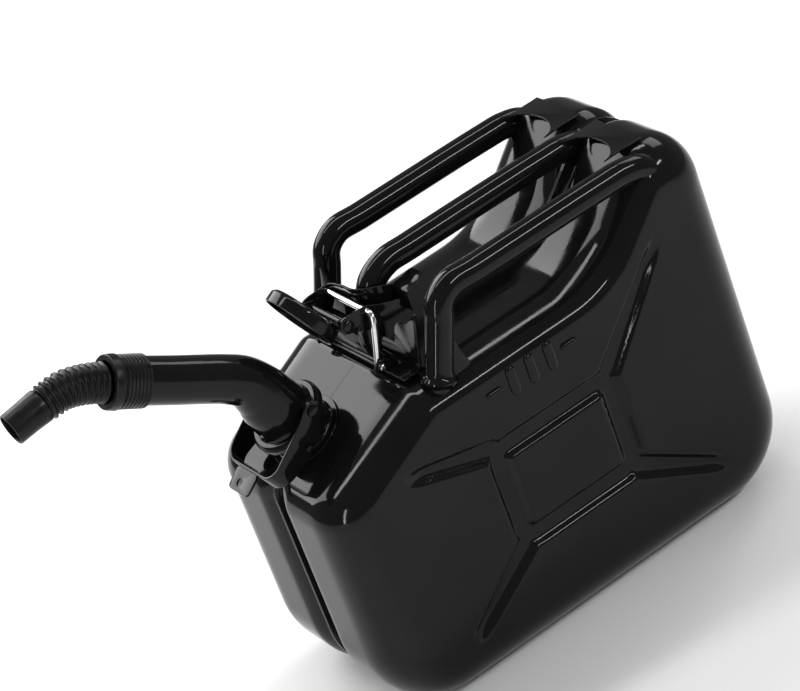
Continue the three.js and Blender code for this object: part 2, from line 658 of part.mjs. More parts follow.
// The clamp's side view and its plan are crossed, which leaves a bent strap.
function yokeGeometry() {
  const [px, ph] = YOKE_PIVOT;
  const side = [
    [px + 5, ph - 4], [px + 6.4, ph + 1], [px + 4, ph + 5.2], [px - 1, ph + 6.4], [px - 8, ph + 3.4],
    [-40, 19.5], [-46, 18.6], [-46, 9.5], [-38, 8.2], [-16, 6.6], [-2, 7.4], [3, 14],
  ];
  const rounded = (inset) => {
    const w = YOKE_Y + YOKE_SHEET - inset;
    const front = -43 + inset;
    const r = 12 - inset;
    const points = [[26, w], [26, -w], [front + r, -w]];
    for (let k = 1; k <= 6; k++) {
      const a = -Math.PI / 2 - (k / 6) * Math.PI / 2;
      points.push([front + r + r * Math.cos(a), -w + r + r * Math.sin(a)]);
    }
    for (let k = 0; k < 6; k++) {
      const a = Math.PI - (k / 6) * Math.PI / 2;
      points.push([front + r + r * Math.cos(a), w - r + r * Math.sin(a)]);
    }
    points.push([front + r, w]);
    return points.reverse();
  };
  const inside = rounded(YOKE_SHEET).map(([x, y]) => [x > 20 ? 40 : x, y]);
  let yoke = solid(acrossY(side, -40, 40)).intersect(solid(upZ(rounded(0), -10, 60)));
  yoke = yoke.subtract(solid(upZ(inside, -20, 70)));
  const tab = solid(acrossY([[-42.4, 9.7], [-42.4, 11.4], [-58, 8.4], [-58, 6.8]], 0, 25))
    .subtract(solid(cylinderZ(2.6, 0, 20, 16), new THREE.Matrix4().makeTranslation(-52, 15, 0)));
  yoke = yoke.add(tab);
  // notch that rests on the neck's stud and opens downwards, so the clamp can swing or lift off it
  const half = STUD_RADIUS + 0.6;
  const [sx, sh] = STUD;
  const notch = [
    [sx - half, sh], [sx - half, -5], [sx + half + 16, -5], [sx + half + 10, 4.5], [sx + half + 0.6, sh + 0.8],
  ];
  yoke = yoke.subtract(solid(acrossY(notch, -40, 40)));
  yoke = yoke.subtract(solid(cylinderY(STUD[0], STUD[1], half, -40, 40)));
  yoke = yoke.subtract(solid(cylinderY(px, ph, PIN_RADIUS + 0.3, -40, 40)));
  return geometryOf(yoke).applyMatrix4(neckPlace);
}

const alongNeck = (h) => new THREE.Vector3(0, 0, h).applyMatrix4(neckPlace);
const ELBOW_START = NECK_HEIGHT + 4;
const ELBOW_PATH = [
  [-147.6, 231], [-151.8, 243], [-159, 255], [-171, 264.6], [-186, 274], [-201, 283], [-222, 296],
];
const ELBOW_RADII = [21.5, 20.6, 18.8, 17, 16.2, 16, 16, 16];

function elbowGeometry() {
  const steps = 14;
  const path = smooth([alongNeck(ELBOW_START + 3), ...inPlane(ELBOW_PATH)], steps);
  const outer = path.map((_, i) => {
    const f = (i / steps) * (ELBOW_RADII.length - 1);
    const k = Math.min(Math.floor(f), ELBOW_RADII.length - 2);
    return ELBOW_RADII[k] + (ELBOW_RADII[k + 1] - ELBOW_RADII[k]) * (f - k);
  });
  path.unshift(alongNeck(ELBOW_START));
  outer.unshift(ELBOW_RADII[0]);
  return tubeGeometry(path, outer, outer.map((r) => r - 1.6), 16);
}

const COLLAR_PATH = [[-222.4, 296.2], [-245, 309.4]];
const COLLAR_RIBS = 5;

function collarGeometry() {
  const [a, b] = inPlane(COLLAR_PATH);
  const path = [];
  const outer = [];
  const along = (f, r) => {
    path.push(a.clone().lerp(b, f));
    outer.push(r);
  };
  for (let k = 0; k < COLLAR_RIBS; k++) {
    const f = k * 0.145;
    along(f, 17.6);
    along(f + 0.085, 17.6);
    along(f + 0.09, 16.8);
    along(f + 0.115, 16.8);
  }
  along(0.74, 18);
  along(1, 17.4);
  return tubeGeometry(path, outer, outer.map(() => 13.9), 16);
}

const HOSE_PATH = [[-245.4, 309.7], [-258, 316.2], [-272, 320.5], [-287, 319.8]];
const HOSE_RINGS = 9;

function hoseGeometry() {
  const count = HOSE_RINGS * 2;
  const path = smooth(inPlane(HOSE_PATH), count);
  const outer = path.map((_, i) => (i % 2 ? 13.4 : 11.8) - (i / count) * 1.2);
  return tubeGeometry(path, outer, outer.map((r) => r - 1.4), 14);
}

const NOZZLE_PATH = [[-287.9, 319.7], [-292, 319.3], [-313, 316.2]];

function nozzleGeometry() {
  const path = inPlane(NOZZLE_PATH);
  return tubeGeometry(path, [11.6, 11.2, 11], [9.6, 9.6, 9.6], 16);
}

// ---- assembly ----
const can = new THREE.Group();
can.add(
  piece('near_shell', shellGeometry(-1), paint),
  piece('far_shell', shellGeometry(1), paint),
  piece('handle_bar_near', barGeometry(-BAR_SPACING, OUTER_FRONT), paint),
  piece('handle_bar_centre', barGeometry(0, CENTRE_FRONT), paint),
  piece('handle_bar_far', barGeometry(BAR_SPACING, OUTER_FRONT), paint),
  piece('handle_front_plate', frontPlateGeometry(), paint),
  piece('handle_rear_plate_near', rearPlateGeometry(-1), paint),
  piece('handle_rear_plate_far', rearPlateGeometry(1), paint),
  piece('neck_tube', neckTubeGeometry(), paint),
  piece('neck_stud_near', neckStudGeometry(-1), zinc),
  piece('neck_stud_far', neckStudGeometry(1), zinc),
  piece('vent_tube', ventTubeGeometry(), zinc),
  piece('hinge_bracket', hingeBracketGeometry(), paint),
  piece('bail_wire', bailGeometry(), zinc),
  piece('cam_lever', leverGeometry(), paint),
  piece('cap_pin', capPinGeometry(), zinc),
  piece('cap_bracket', capBracketGeometry(), paint),
  piece('cap_shell', capShellGeometry(), paint),
  piece('cap_gasket', capGasketGeometry(), rubber),
  piece('spout_flange', spoutFlangeGeometry(), paint),
  piece('spout_gasket', spoutGasketGeometry(), rubber),
  piece('spout_elbow', elbowGeometry(), paint),
  piece('spout_collar', collarGeometry(), plastic),
  piece('spout_hose', hoseGeometry(), plastic),
  piece('spout_nozzle', nozzleGeometry(), plastic),
  piece('clamp_yoke', yokeGeometry(), paint),
  piece('clamp_rivet_near', clampRivetGeometry(-1), paint),
  piece('clamp_rivet_far', clampRivetGeometry(1), paint),
);

// The whole object, spout included, is centred over the origin.
const box = new THREE.Box3().setFromObject(can, true);
const centred = new THREE.Group();
can.position.set(-(box.min.x + box.max.x) / 2, -(box.min.y + box.max.y) / 2, -box.min.z);
centred.add(can);

export default centred;
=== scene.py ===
"""Looks of a black steel jerry can with a clamped spout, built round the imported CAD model.

Shapes are worked out in millimetres in the can's own frame, whose origin lies under the middle of
the can body, and are placed in the row frame, in metres, when their mesh is made.
"""

import math

import bmesh
import bpy
import numpy as np
from mathutils import Matrix, Vector


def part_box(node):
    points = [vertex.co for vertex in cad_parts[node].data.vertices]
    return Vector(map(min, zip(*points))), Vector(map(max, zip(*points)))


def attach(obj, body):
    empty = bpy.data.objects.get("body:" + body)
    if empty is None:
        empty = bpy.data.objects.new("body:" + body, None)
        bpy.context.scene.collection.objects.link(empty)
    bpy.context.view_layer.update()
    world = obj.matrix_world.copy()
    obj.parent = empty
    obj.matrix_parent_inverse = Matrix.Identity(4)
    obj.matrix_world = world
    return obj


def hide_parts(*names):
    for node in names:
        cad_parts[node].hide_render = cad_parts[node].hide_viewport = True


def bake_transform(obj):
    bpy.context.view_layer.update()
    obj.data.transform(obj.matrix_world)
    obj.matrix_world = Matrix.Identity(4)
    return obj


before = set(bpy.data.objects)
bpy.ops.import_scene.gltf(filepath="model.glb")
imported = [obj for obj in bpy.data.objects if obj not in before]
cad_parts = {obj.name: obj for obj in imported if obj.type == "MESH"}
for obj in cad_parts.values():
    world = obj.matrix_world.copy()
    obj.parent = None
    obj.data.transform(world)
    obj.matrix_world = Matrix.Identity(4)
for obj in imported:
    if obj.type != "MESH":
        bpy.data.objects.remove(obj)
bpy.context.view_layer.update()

MM = 0.001
SIDES = ((-1, "near"), (1, "far"))  # which way along Y, and its name
shell_low, shell_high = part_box("near_shell")
CAN_MIDDLE = (shell_low.x + shell_high.x) / 2
# the part of 0 to 1 that a noise texture's values fill
NOISE_LOW = 0.3
NOISE_HIGH = 0.7

# ---- driving dimensions of the can, in millimetres ----
BODY_LENGTH = 345
BODY_WIDTH = 165
HUMP_TOP = 281
GAP = 0.3
SEAM_DEPTH = 10
SEAM_HALF_WIDTH = 19
FLANGE_INSET = 2.5
FACE_FILLET = 34
GROOVE_DEPTH = 5
GROOVE_SLOPE = 4.5

SHOULDER_FRONT = (-BODY_LENGTH / 2, 178)
DECK_FRONT = (-82, 221)
SHOULDER_TILT = math.atan2(DECK_FRONT[1] - SHOULDER_FRONT[1], DECK_FRONT[0] - SHOULDER_FRONT[0])
NECK_X = -132
NECK_BASE_Z = SHOULDER_FRONT[1] + (NECK_X - SHOULDER_FRONT[0]) * math.tan(SHOULDER_TILT)
NECK_RADIUS = 22
NECK_HEIGHT = 19.5
NECK_WALL = 1.5
STUD = (-10, 12)

BAR_RADIUS = 9.5
BAR_SPACING = 68.6
BAR_TOP = 283
BAR_HEIGHT = BAR_TOP - BAR_RADIUS

BAIL_RADIUS = 2.2
BAIL_PIVOT = (-81, 229.5)
BAIL_TOP = (-72, 264)
BAIL_HALF_WIDTH = 32
EAR_Y = BAIL_HALF_WIDTH + 3.2
EAR_SHEET = 1.6
CAP_RADIUS = 26
CAP_DEPTH = 10
CAP_FACE = (-109, 270)
CAP_TILT = math.radians(63.5)
CAP_PIN_LOCAL = (17, 15.5)


# ---- materials ----
def new_material(name):
    """An empty node material with its Principled shader and a helper that adds linked nodes."""
    material = bpy.data.materials.new(name)
    material.use_nodes = True
    tree = material.node_tree
    shader = tree.nodes["Principled BSDF"]
    place = tree.nodes.new("ShaderNodeTexCoord")

    def node(kind, settings=None, links=None):
        made = tree.nodes.new(kind)
        for key, value in (settings or {}).items():
            if hasattr(made, key):
                setattr(made, key, value)
            else:
                made.inputs[key].default_value = value
        for key, source in (links or {}).items():
            tree.links.new(source, made.inputs[key])
        return made

    return material, tree, shader, place.outputs["Object"], node


def noise(node, place, scale, detail=3.0, roughness=0.5):
    settings = {"Scale": scale, "Detail": detail, "Roughness": roughness}
    return node("ShaderNodeTexNoise", settings, {"Vector": place}).outputs["Fac"]


def spread(node, value, low, high):
    """Maps a noise value to a range, with smooth ends."""
    settings = {"interpolation_type": "SMOOTHSTEP", "From Min": NOISE_LOW, "From Max": NOISE_HIGH}
    settings |= {"To Min": low, "To Max": high}
    return node("ShaderNodeMapRange", settings, {"Value": value}).outputs["Result"]


def colour_between(node, value, first, second):
    """Maps a noise value to colours between two, given without alpha."""
    ramp = node("ShaderNodeValToRGB", links={"Fac": value})
    ramp.color_ramp.elements[0].color = (*first, 1)
    ramp.color_ramp.elements[1].color = (*second, 1)
    ramp.color_ramp.elements[0].position = NOISE_LOW
    ramp.color_ramp.elements[1].position = NOISE_HIGH
    return ramp.outputs["Color"]


def bumps(node, heights):
    """A chain of bump nodes from (height, distance in metres, strength)."""
    normal = None
    for height, distance, strength in heights:
        links = {"Height": height}
        if normal is not None:
            links["Normal"] = normal
        settings = {"Distance": distance, "Strength": strength}
        normal = node("ShaderNodeBump", settings, links).outputs["Normal"]
    return normal


def surface(name, colours, colour_noise, gloss, gloss_noise, relief, **inputs):
    """A material whose colour, roughness and relief vary with noises of their own.

    A noise is (scale, detail, roughness), where the last ones may be left out. Relief is a list of
    (noise, distance in metres, strength). The other values are set on the shader as they are.
    """
    material, tree, shader, place, node = new_material(name)
    colour = colour_between(node, noise(node, place, *colour_noise), *colours)
    roughness = spread(node, noise(node, place, *gloss_noise), *gloss)
    heights = [(noise(node, place, *grain), reach, strength) for grain, reach, strength in relief]
    tree.links.new(colour, shader.inputs["Base Color"])
    tree.links.new(roughness, shader.inputs["Roughness"])
    tree.links.new(bumps(node, heights), shader.inputs["Normal"])
    for key, value in inputs.items():
        shader.inputs[key].default_value = value
    return material


# stoving enamel: clear reflections, slight waves of the pressed sheet and fine orange peel
PAINT = surface(
    "gloss_black_enamel", ((0.0035, 0.0036, 0.0038), (0.006, 0.0061, 0.0066)), (14,),
    (0.045, 0.12), (45, 5, 0.6), [((9, 2), 0.004, 0.05), ((420, 2), 0.0003, 0.05)], IOR=1.3)
ZINC = surface(
    "bright_zinc_plate", ((0.62, 0.63, 0.65), (0.82, 0.83, 0.84)), (120, 4),
    (0.14, 0.26), (300, 4), [((900, 3), 0.0002, 0.05)], Metallic=1)
PLASTIC = surface(
    "satin_black_plastic", ((0.005, 0.005, 0.0053), (0.009, 0.009, 0.0094)), (60,),
    (0.24, 0.4), (160, 4), [((1600, 2), 0.0002, 0.1)], IOR=1.28)
RUBBER_LOOKS = {"colour_noise": (90, 4), "gloss": (0.45, 0.65), "gloss_noise": (220, 3)}
RUBBER_LOOKS["relief"] = [((1300, 3), 0.0003, 0.2)]
BLACK_RUBBER = surface(
    "black_rubber", ((0.012, 0.012, 0.012), (0.022, 0.022, 0.022)), **RUBBER_LOOKS)
GREY_RUBBER = surface(
    "light_grey_seal", ((0.40, 0.40, 0.385), (0.52, 0.52, 0.50)), **RUBBER_LOOKS)


# ---- making pieces ----
def row_points(points):
    """Millimetres in the can's frame to metres in the row frame."""
    return np.asarray(points, float) * MM + (CAN_MIDDLE, 0, 0)


def shade(obj, sharp_degrees):
    """Outward normals, smooth faces, and sharp edges where faces turn by more than the angle."""
    work = bmesh.new()
    work.from_mesh(obj.data)
    bmesh.ops.remove_doubles(work, verts=work.verts, dist=1e-6)
    bmesh.ops.recalc_face_normals(work, faces=work.faces)
    for face in work.faces:
        face.smooth = True
    for edge in work.edges:
        if edge.is_manifold and edge.calc_face_angle(0) > math.radians(sharp_degrees):
            edge.smooth = False
    work.to_mesh(obj.data)
    work.free()


def finish_piece(obj, material, body, stands_for=(), sharp_degrees=35):
    """Shading, material, body and the CAD nodes that the piece stands for."""
    shade(obj, sharp_degrees)
    obj.data.materials.clear()
    obj.data.materials.append(material)
    if body:
        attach(obj, body)
    if stands_for:
        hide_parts(*stands_for)
    return obj


def add_piece(name, points, faces, material, body, stands_for=(), sharp_degrees=35):
    """A mesh object from points in the can's frame."""
    mesh = bpy.data.meshes.new(name)
    mesh.from_pydata(row_points(points).tolist(), [], faces)
    obj = bpy.data.objects.new(name, mesh)
    bpy.context.scene.collection.objects.link(obj)
    return finish_piece(obj, material, body, stands_for, sharp_degrees)


def ring_faces(rings, count, loop=False):
    """Quads between neighbouring rings of the same number of points."""
    faces = []
    for r in range(rings if loop else rings - 1):
        a = r * count
        b = ((r + 1) % rings) * count
        faces += [(a + i, a + (i + 1) % count, b + (i + 1) % count, b + i) for i in range(count)]
    return faces


def smooth_curve(points, count):
    """Count points along a centripetal Catmull-Rom curve through the given ones."""
    p = np.asarray(points, float)
    p = np.vstack([2 * p[0] - p[1], p, 2 * p[-1] - p[-2]])
    made = []
    for t in np.linspace(0, len(points) - 1, count):
        i = min(int(t), len(points) - 2)
        u = t - i
        a, b, c, d = p[i : i + 4]
        k = np.cumsum([0] + [math.sqrt(np.linalg.norm(q - r)) for q, r in ((b, a), (c, b), (d, c))])
        x = k[1] + u * (k[2] - k[1])
        ab = (a * (k[1] - x) + b * (x - k[0])) / (k[1] - k[0])
        bc = (b * (k[2] - x) + c * (x - k[1])) / (k[2] - k[1])
        cd = (c * (k[3] - x) + d * (x - k[2])) / (k[3] - k[2])
        abc = (ab * (k[2] - x) + bc * (x - k[0])) / (k[2] - k[0])
        bcd = (bc * (k[3] - x) + cd * (x - k[1])) / (k[3] - k[1])
        made.append((abc * (k[2] - x) + bcd * (x - k[1])) / (k[2] - k[1]))
    return np.array(made)


def in_plane(points, y=0.0):
    """(x, z) pairs as points at the given Y."""
    return [(x, y, z) for x, z in points]


def section_rings(path, radii, sides):
    """Rings of round section along a path, carried without twist."""
    path = np.asarray(path, float)
    tangents = np.gradient(path, axis=0)
    tangents /= np.linalg.norm(tangents, axis=1)[:, None]
    side = np.array([0.0, 1.0, 0.0]) if abs(tangents[0][1]) < 0.9 else np.array([1.0, 0.0, 0.0])
    angles = np.arange(sides) / sides * 2 * math.pi
    rings = []
    for point, along, radius in zip(path, tangents, radii):
        side = side - along * side.dot(along)
        side /= np.linalg.norm(side)
        up = np.cross(along, side)
        circle = np.outer(np.cos(angles), side) + np.outer(np.sin(angles), up)
        rings.append(point + radius * circle)
    return rings


def add_rod(name, path, radii, material, body, stands_for=(), sides=40, sharp_degrees=35):
    """A solid round rod along a path, with flat ends."""
    radii = np.broadcast_to(radii, len(path))
    rings = section_rings(path, radii, sides)
    faces = ring_faces(len(rings), sides)
    faces.append(tuple(range(sides)))
    faces.append(tuple(range((len(rings) - 1) * sides, len(rings) * sides)))
    return add_piece(name, np.vstack(rings), faces, material, body, stands_for, sharp_degrees)


def add_tube(name, path, outer, inner, material, body, stands_for=(), sides=56, sharp_degrees=35):
    """A round tube with a wall, open at both ends."""
    outer = np.broadcast_to(outer, len(path))
    inner = np.broadcast_to(inner, len(path))
    rings = section_rings(path, outer, sides) + section_rings(path, inner, sides)[::-1]
    faces = ring_faces(len(rings), sides, loop=True)
    return add_piece(name, np.vstack(rings), faces, material, body, stands_for, sharp_degrees)


def neck_point(s, y, h):
    """From the neck's frame (s up the shoulder, h along the neck's axis) to the can's frame."""
    c, k = math.cos(SHOULDER_TILT), math.sin(SHOULDER_TILT)
    return (NECK_X + s * c - h * k, y, NECK_BASE_Z + s * k + h * c)


def cap_point(s, y, h):
    """From the cap's frame (s across the cap, h out of its back) to the can's frame."""
    c, k = math.cos(CAP_TILT), math.sin(CAP_TILT)
    return (CAP_FACE[0] + s * c + h * k, y, CAP_FACE[1] - s * k + h * c)


def rounded(profile, radius, steps=4):
    """A closed outline with every corner rounded, as far as its sides allow."""
    p = [np.array(q, float) for q in profile]
    out = []
    for before, here, after in zip(p[-1:] + p[:-1], p, p[1:] + p[:1]):
        a, b = before - here, after - here
        la, lb = np.linalg.norm(a), np.linalg.norm(b)
        cut = min(radius, 0.45 * la, 0.45 * lb)
        start, end = here + a / la * cut, here + b / lb * cut
        for f in np.linspace(0, 1, steps + 1):
            out.append((1 - f) ** 2 * start + 2 * f * (1 - f) * here + f * f * end)
    return out


def add_turned(name, profile, place, material, body, stands_for=(), segments=72, radius=0.5):
    """A turned piece from a closed (radius, height) outline with rounded corners."""
    outline = rounded(profile, radius)
    angles = np.arange(segments) / segments * 2 * math.pi
    rings = [[place(r * math.cos(a), r * math.sin(a), h) for r, h in outline] for a in angles]
    faces = ring_faces(segments, len(outline), loop=True)
    points = np.array(rings).reshape(-1, 3)
    return add_piece(name, points, faces, material, body, stands_for, sharp_degrees=40)


def flat_plate(outline, thickness, bevel=0.35, holes=()):
    """Points and faces of a flat plate in a plane, middle layer at height 0, with rounded edges."""
    curve = bpy.data.curves.new("outline", "CURVE")
    curve.dimensions = "2D"
    curve.fill_mode = "BOTH"
    curve.extrude = thickness / 2 - bevel
    curve.bevel_depth = bevel
    curve.bevel_resolution = 2
    curve.offset = -bevel
    loops = [outline]
    for x, y, r in holes:
        angles = np.linspace(0, 2 * math.pi, 28, endpoint=False)
        loops.append([(x + r * math.cos(a), y + r * math.sin(a)) for a in angles])
    for loop in loops:
        spline = curve.splines.new("POLY")
        spline.points.add(len(loop) - 1)
        for point, (x, y) in zip(spline.points, loop):
            point.co = (x, y, 0, 1)
        spline.use_cyclic_u = True
    obj = bpy.data.objects.new("outline", curve)
    bpy.context.scene.collection.objects.link(obj)
    mesh = bpy.data.meshes.new_from_object(obj.evaluated_get(bpy.context.evaluated_depsgraph_get()))
    points = np.array([v.co for v in mesh.vertices])
    faces = [tuple(f.vertices) for f in mesh.polygons]
    bpy.data.objects.remove(obj)
    bpy.data.curves.remove(curve)
    bpy.data.meshes.remove(mesh)
    return points, faces


def joined(parts):
    """One point array and face list from several."""
    points, faces = [], []
    for some_points, some_faces in parts:
        start = sum(len(p) for p in points)
        points.append(np.asarray(some_points, float))
        faces += [tuple(start + i for i in face) for face in some_faces]
    return np.vstack(points), faces


def placed(part, place):
    """The part with each of its points moved by a function of three coordinates."""
    points, faces = part
    return np.array([place(*p) for p in points]), faces


# ---- the body's two half shells ----
# Corners run from the front bottom, under the can, up the rear, over the hump, down into the hand
# scoop, along the deck and down the sloping shoulder: edge corner, its radius, the matching corner
# of the flat large face, that one's radius, and the seam channel's share of depth at both arc ends.
OUTLINE = [
    ((-BODY_LENGTH / 2, 0), 56, (-142, 32), 30, (1, 1)),
    ((BODY_LENGTH / 2, 0), 56, (142, 32), 30, (1, 1)),
    ((BODY_LENGTH / 2, HUMP_TOP), 35, (144, 250), 14, (1, 1)),
    ((128, HUMP_TOP), 14, (126, 250), 8, (1, 1)),
    ((68, 222), 80, (74, 204), 80, (0.3, 0)),
    (DECK_FRONT, 12, (-78, 203), 12, (0, 0)),
    (SHOULDER_FRONT, 25, (-142, 170), 12, (0, 1)),
]
EDGE = [(at, radius, seam) for at, radius, _, _, seam in OUTLINE]
FACE = [(face, radius, (0, 0)) for _, _, face, radius, _ in OUTLINE]
SMALLEST_RADIUS = 3
ARC_STEPS = 18
STRAIGHT_SPACING = 4.0
STRAIGHT_STEPS = [
    max(2, int(math.dist(a[0], b[0]) / STRAIGHT_SPACING))
    for a, b in zip(OUTLINE, OUTLINE[1:] + OUTLINE[:1])
]


def corner_arc(before, here, after, radius, seam, inset_at):
    """The rounded corner between two straight sides, moved inwards."""
    before, here, after = (np.array(p, float) for p in (before, here, after))
    a, b = here - before, after - here
    a, b = a / np.linalg.norm(a), b / np.linalg.norm(b)
    turn = math.atan2(a[0] * b[1] - a[1] * b[0], a.dot(b))
    sense = math.copysign(1, turn)
    inward = np.array([-a[1] - b[1], a[0] + b[0]])
    inward /= np.linalg.norm(inward)
    arc = []
    for f in np.linspace(0, 1, ARC_STEPS + 1):
        inset = inset_at(seam[0] + (seam[1] - seam[0]) * f)
        r = max(radius - inset * sense, SMALLEST_RADIUS)
        centre = here + inward * (inset + sense * r) / math.cos(turn / 2)
        angle = math.atan2(-a[0] * sense, a[1] * sense) + turn * f
        arc.append(centre + r * np.array([math.cos(angle), math.sin(angle)]))
    return arc


def outline_points(corners, inset_at):
    """A closed outline of arcs and straights; the inset depends on the corners' seam share."""
    count = len(corners)
    arcs = [
        corner_arc(corners[c - 1][0], at, corners[(c + 1) % count][0], radius, seam, inset_at)
        for c, (at, radius, seam) in enumerate(corners)
    ]
    points = []
    for arc, following, steps in zip(arcs, arcs[1:] + arcs[:1], STRAIGHT_STEPS):
        points += arc
        points += [arc[-1] + (following[0] - arc[-1]) * k / steps for k in range(1, steps)]
    return np.array(points)


FACE_POINTS = outline_points(FACE, lambda share: 0)
FILLET_START = BODY_WIDTH / 2 - FACE_FILLET

# the pressed star: a band round the middle panel, and a tapering rib from each of its corners
PANEL_HALF = (42, 30.5)
PANEL_MIDDLE = (0, 118.5)
BAND = 10
BAND_CORNER = 10.0
RIBS = [
    ((-50, 158), (-118, 177)),
    ((-50, 80), (-111, 37)),
    ((50, 80), (117, 39)),
    ((50, 158), (117, 227)),
]
RIB_HALF_WIDTH = (5.0, 1.6)
RIB_FADE = 0.3


def smoothstep(t):
    t = np.clip(t, 0, 1)
    return t * t * (3 - 2 * t)


def groove_depth(x, z):
    """How far the pressed star sinks the large face at a point."""
    half = np.array(PANEL_HALF) + BAND / 2
    dx = np.abs(x - PANEL_MIDDLE[0]) - half[0] + BAND_CORNER
    dz = np.abs(z - PANEL_MIDDLE[1]) - half[1] + BAND_CORNER
    beyond = np.hypot(np.maximum(dx, 0), np.maximum(dz, 0))
    within = np.minimum(np.maximum(dx, dz), 0)
    outside = beyond + within - BAND_CORNER
    depth = 1 - smoothstep((np.abs(outside) - BAND / 2) / GROOVE_SLOPE)
    for (x0, z0), (x1, z1) in RIBS:
        along = np.array([x1 - x0, z1 - z0])
        t = np.clip(((x - x0) * along[0] + (z - z0) * along[1]) / along.dot(along), 0, 1)
        away = np.hypot(x - x0 - t * along[0], z - z0 - t * along[1])
        half_width = RIB_HALF_WIDTH[0] + (RIB_HALF_WIDTH[1] - RIB_HALF_WIDTH[0]) * t
        fade = smoothstep((1 - t) / RIB_FADE)
        depth = np.maximum(depth, fade * (1 - smoothstep((away - half_width) / GROOVE_SLOPE)))
    return GROOVE_DEPTH * depth


CHANNEL_FLOOR = 2  # half the width of the seam channel's floor


def channel_inset(y):
    """How far the seam channel lies below the side at a distance from the joint."""
    f = (SEAM_HALF_WIDTH - y) / (SEAM_HALF_WIDTH - CHANNEL_FLOOR)
    return SEAM_DEPTH * min(max(f, 0), 1) ** 1.5


def side_ring(y, inset):
    xz = outline_points(EDGE, lambda share: inset * share)
    return np.column_stack([xz[:, 0], np.full(len(xz), y), xz[:, 1]])


# the weld flange from the joint outwards: distance from the joint and inset
FLANGE_RINGS = [
    (GAP / 2, SEAM_DEPTH),
    (GAP / 2, FLANGE_INSET + 0.4),
    (GAP / 2 + 0.2, FLANGE_INSET),
    (1.15, FLANGE_INSET),
    (1.35, FLANGE_INSET + 0.4),
    (1.36, SEAM_DEPTH - 1.2),
    (1.8, SEAM_DEPTH - 0.3),
]
CHANNEL_START = 2.6
# the level line that the large face's rings close in on
SPINE_SHARE = 0.6
SPINE_REACH = 70
SPINE_Z = 118.0
# the star fades out over this last part of the rise to the large face
FLAT_RISE = 12


def half_shell(side):
    """Rings from the weld flange through the seam channel, round the side, over the large face."""
    rings = [side_ring(y, inset) for y, inset in FLANGE_RINGS]
    channel = np.linspace(CHANNEL_START, SEAM_HALF_WIDTH, 14)
    rings += [side_ring(y, channel_inset(y)) for y in channel]
    rings += [side_ring(y, 0) for y in np.linspace(SEAM_HALF_WIDTH, FILLET_START, 8)[1:]]
    edge = rings[-1][:, [0, 2]]
    for rise in np.linspace(0, math.pi / 2, 20)[1:]:
        xz = edge + (FACE_POINTS - edge) * (1 - math.cos(rise))
        y = FILLET_START + FACE_FILLET * math.sin(rise)
        rings.append(np.column_stack([xz[:, 0], np.full(len(xz), y), xz[:, 1]]))
    spine_x = np.clip(FACE_POINTS[:, 0] * SPINE_SHARE, -SPINE_REACH, SPINE_REACH)
    spine = np.column_stack([spine_x, np.full(len(FACE_POINTS), SPINE_Z)])
    for f in np.linspace(0, 1, 62)[1:]:
        xz = FACE_POINTS + (spine - FACE_POINTS) * f
        rings.append(np.column_stack([xz[:, 0], np.full(len(xz), BODY_WIDTH / 2), xz[:, 1]]))
    points = np.vstack(rings)
    flatness = smoothstep((points[:, 1] - BODY_WIDTH / 2 + FLAT_RISE) / FLAT_RISE)
    points[:, 1] -= flatness * groove_depth(points[:, 0], points[:, 2])
    points[:, 1] *= side
    return points, ring_faces(len(rings), len(FACE_POINTS))


for side, label in SIDES:
    add_piece(
        f"{label}_shell_skin", *half_shell(side), PAINT, "can", [f"{label}_shell"],
        sharp_degrees=50)


# ---- the embossed row on the large faces: short dashes and rounded upright bars ----
MARK_MIDDLE = (-3, 195)
MARK_HEIGHT = 22
MARK_STROKE = 7.6
MARK_RISE = 1.9
MARK_PITCH = 15.5
DASH_SIZE = (13, 4.6)


def stadium(length, width, steps=10):
    """A round-ended bar outline about the origin, its length along the second axis."""
    r = width / 2
    reach = length / 2 - r
    top = [(r * math.cos(a), reach + r * math.sin(a)) for a in np.linspace(0, math.pi, steps)]
    return top + [(-x, -y) for x, y in top]


def embossed_row(side):
    """A dash, three upright bars and a dash, each a low rounded rise."""
    parts = []
    for k in (-2, -1, 0, 1, 2):
        dash = abs(k) == 2
        outline = stadium(*DASH_SIZE) if dash else stadium(MARK_HEIGHT, MARK_STROKE)
        if dash:
            outline = [(y, -x) for x, y in outline]
        centre = MARK_MIDDLE[0] + k * MARK_PITCH
        plate = flat_plate(outline, 2 * MARK_RISE, bevel=MARK_RISE - 0.05)
        parts.append(placed(plate, lambda x, y, h: (
            centre + x, side * (BODY_WIDTH / 2 + h), MARK_MIDDLE[1] + y)))
    return joined(parts)


for side, label in SIDES:
    add_piece(f"{label}_embossed_row", *embossed_row(side), PAINT, "can", sharp_degrees=60)


# ---- bent sheet ----
def ribbon(lows, highs, normals, thickness, bevel=0.4, corner_steps=3):
    """A strip of sheet through stations, each with its two edges and the sheet's normal there."""
    corner = np.linspace(0, math.pi / 2, corner_steps + 1)
    rings = []
    for low, high, normal in zip(*(np.asarray(v, float) for v in (lows, highs, normals))):
        length = max(np.linalg.norm(high - low), 2.2 * bevel)
        along = (high - low) / max(np.linalg.norm(high - low), 1e-6)
        normal = normal / np.linalg.norm(normal)
        ring = []
        for quarter in range(4):
            u = length - bevel if quarter in (0, 3) else bevel
            v = (thickness / 2 - bevel) * (1 if quarter < 2 else -1)
            for angle in corner + quarter * math.pi / 2:
                across = along * (u + bevel * math.cos(angle))
                ring.append(low + across + normal * (v + bevel * math.sin(angle)))
        rings.append(ring)
    count = len(rings[0])
    faces = ring_faces(len(rings), count)
    faces.append(tuple(range(count)))
    faces.append(tuple(range((len(rings) - 1) * count, len(rings) * count)))
    return np.vstack(rings), faces


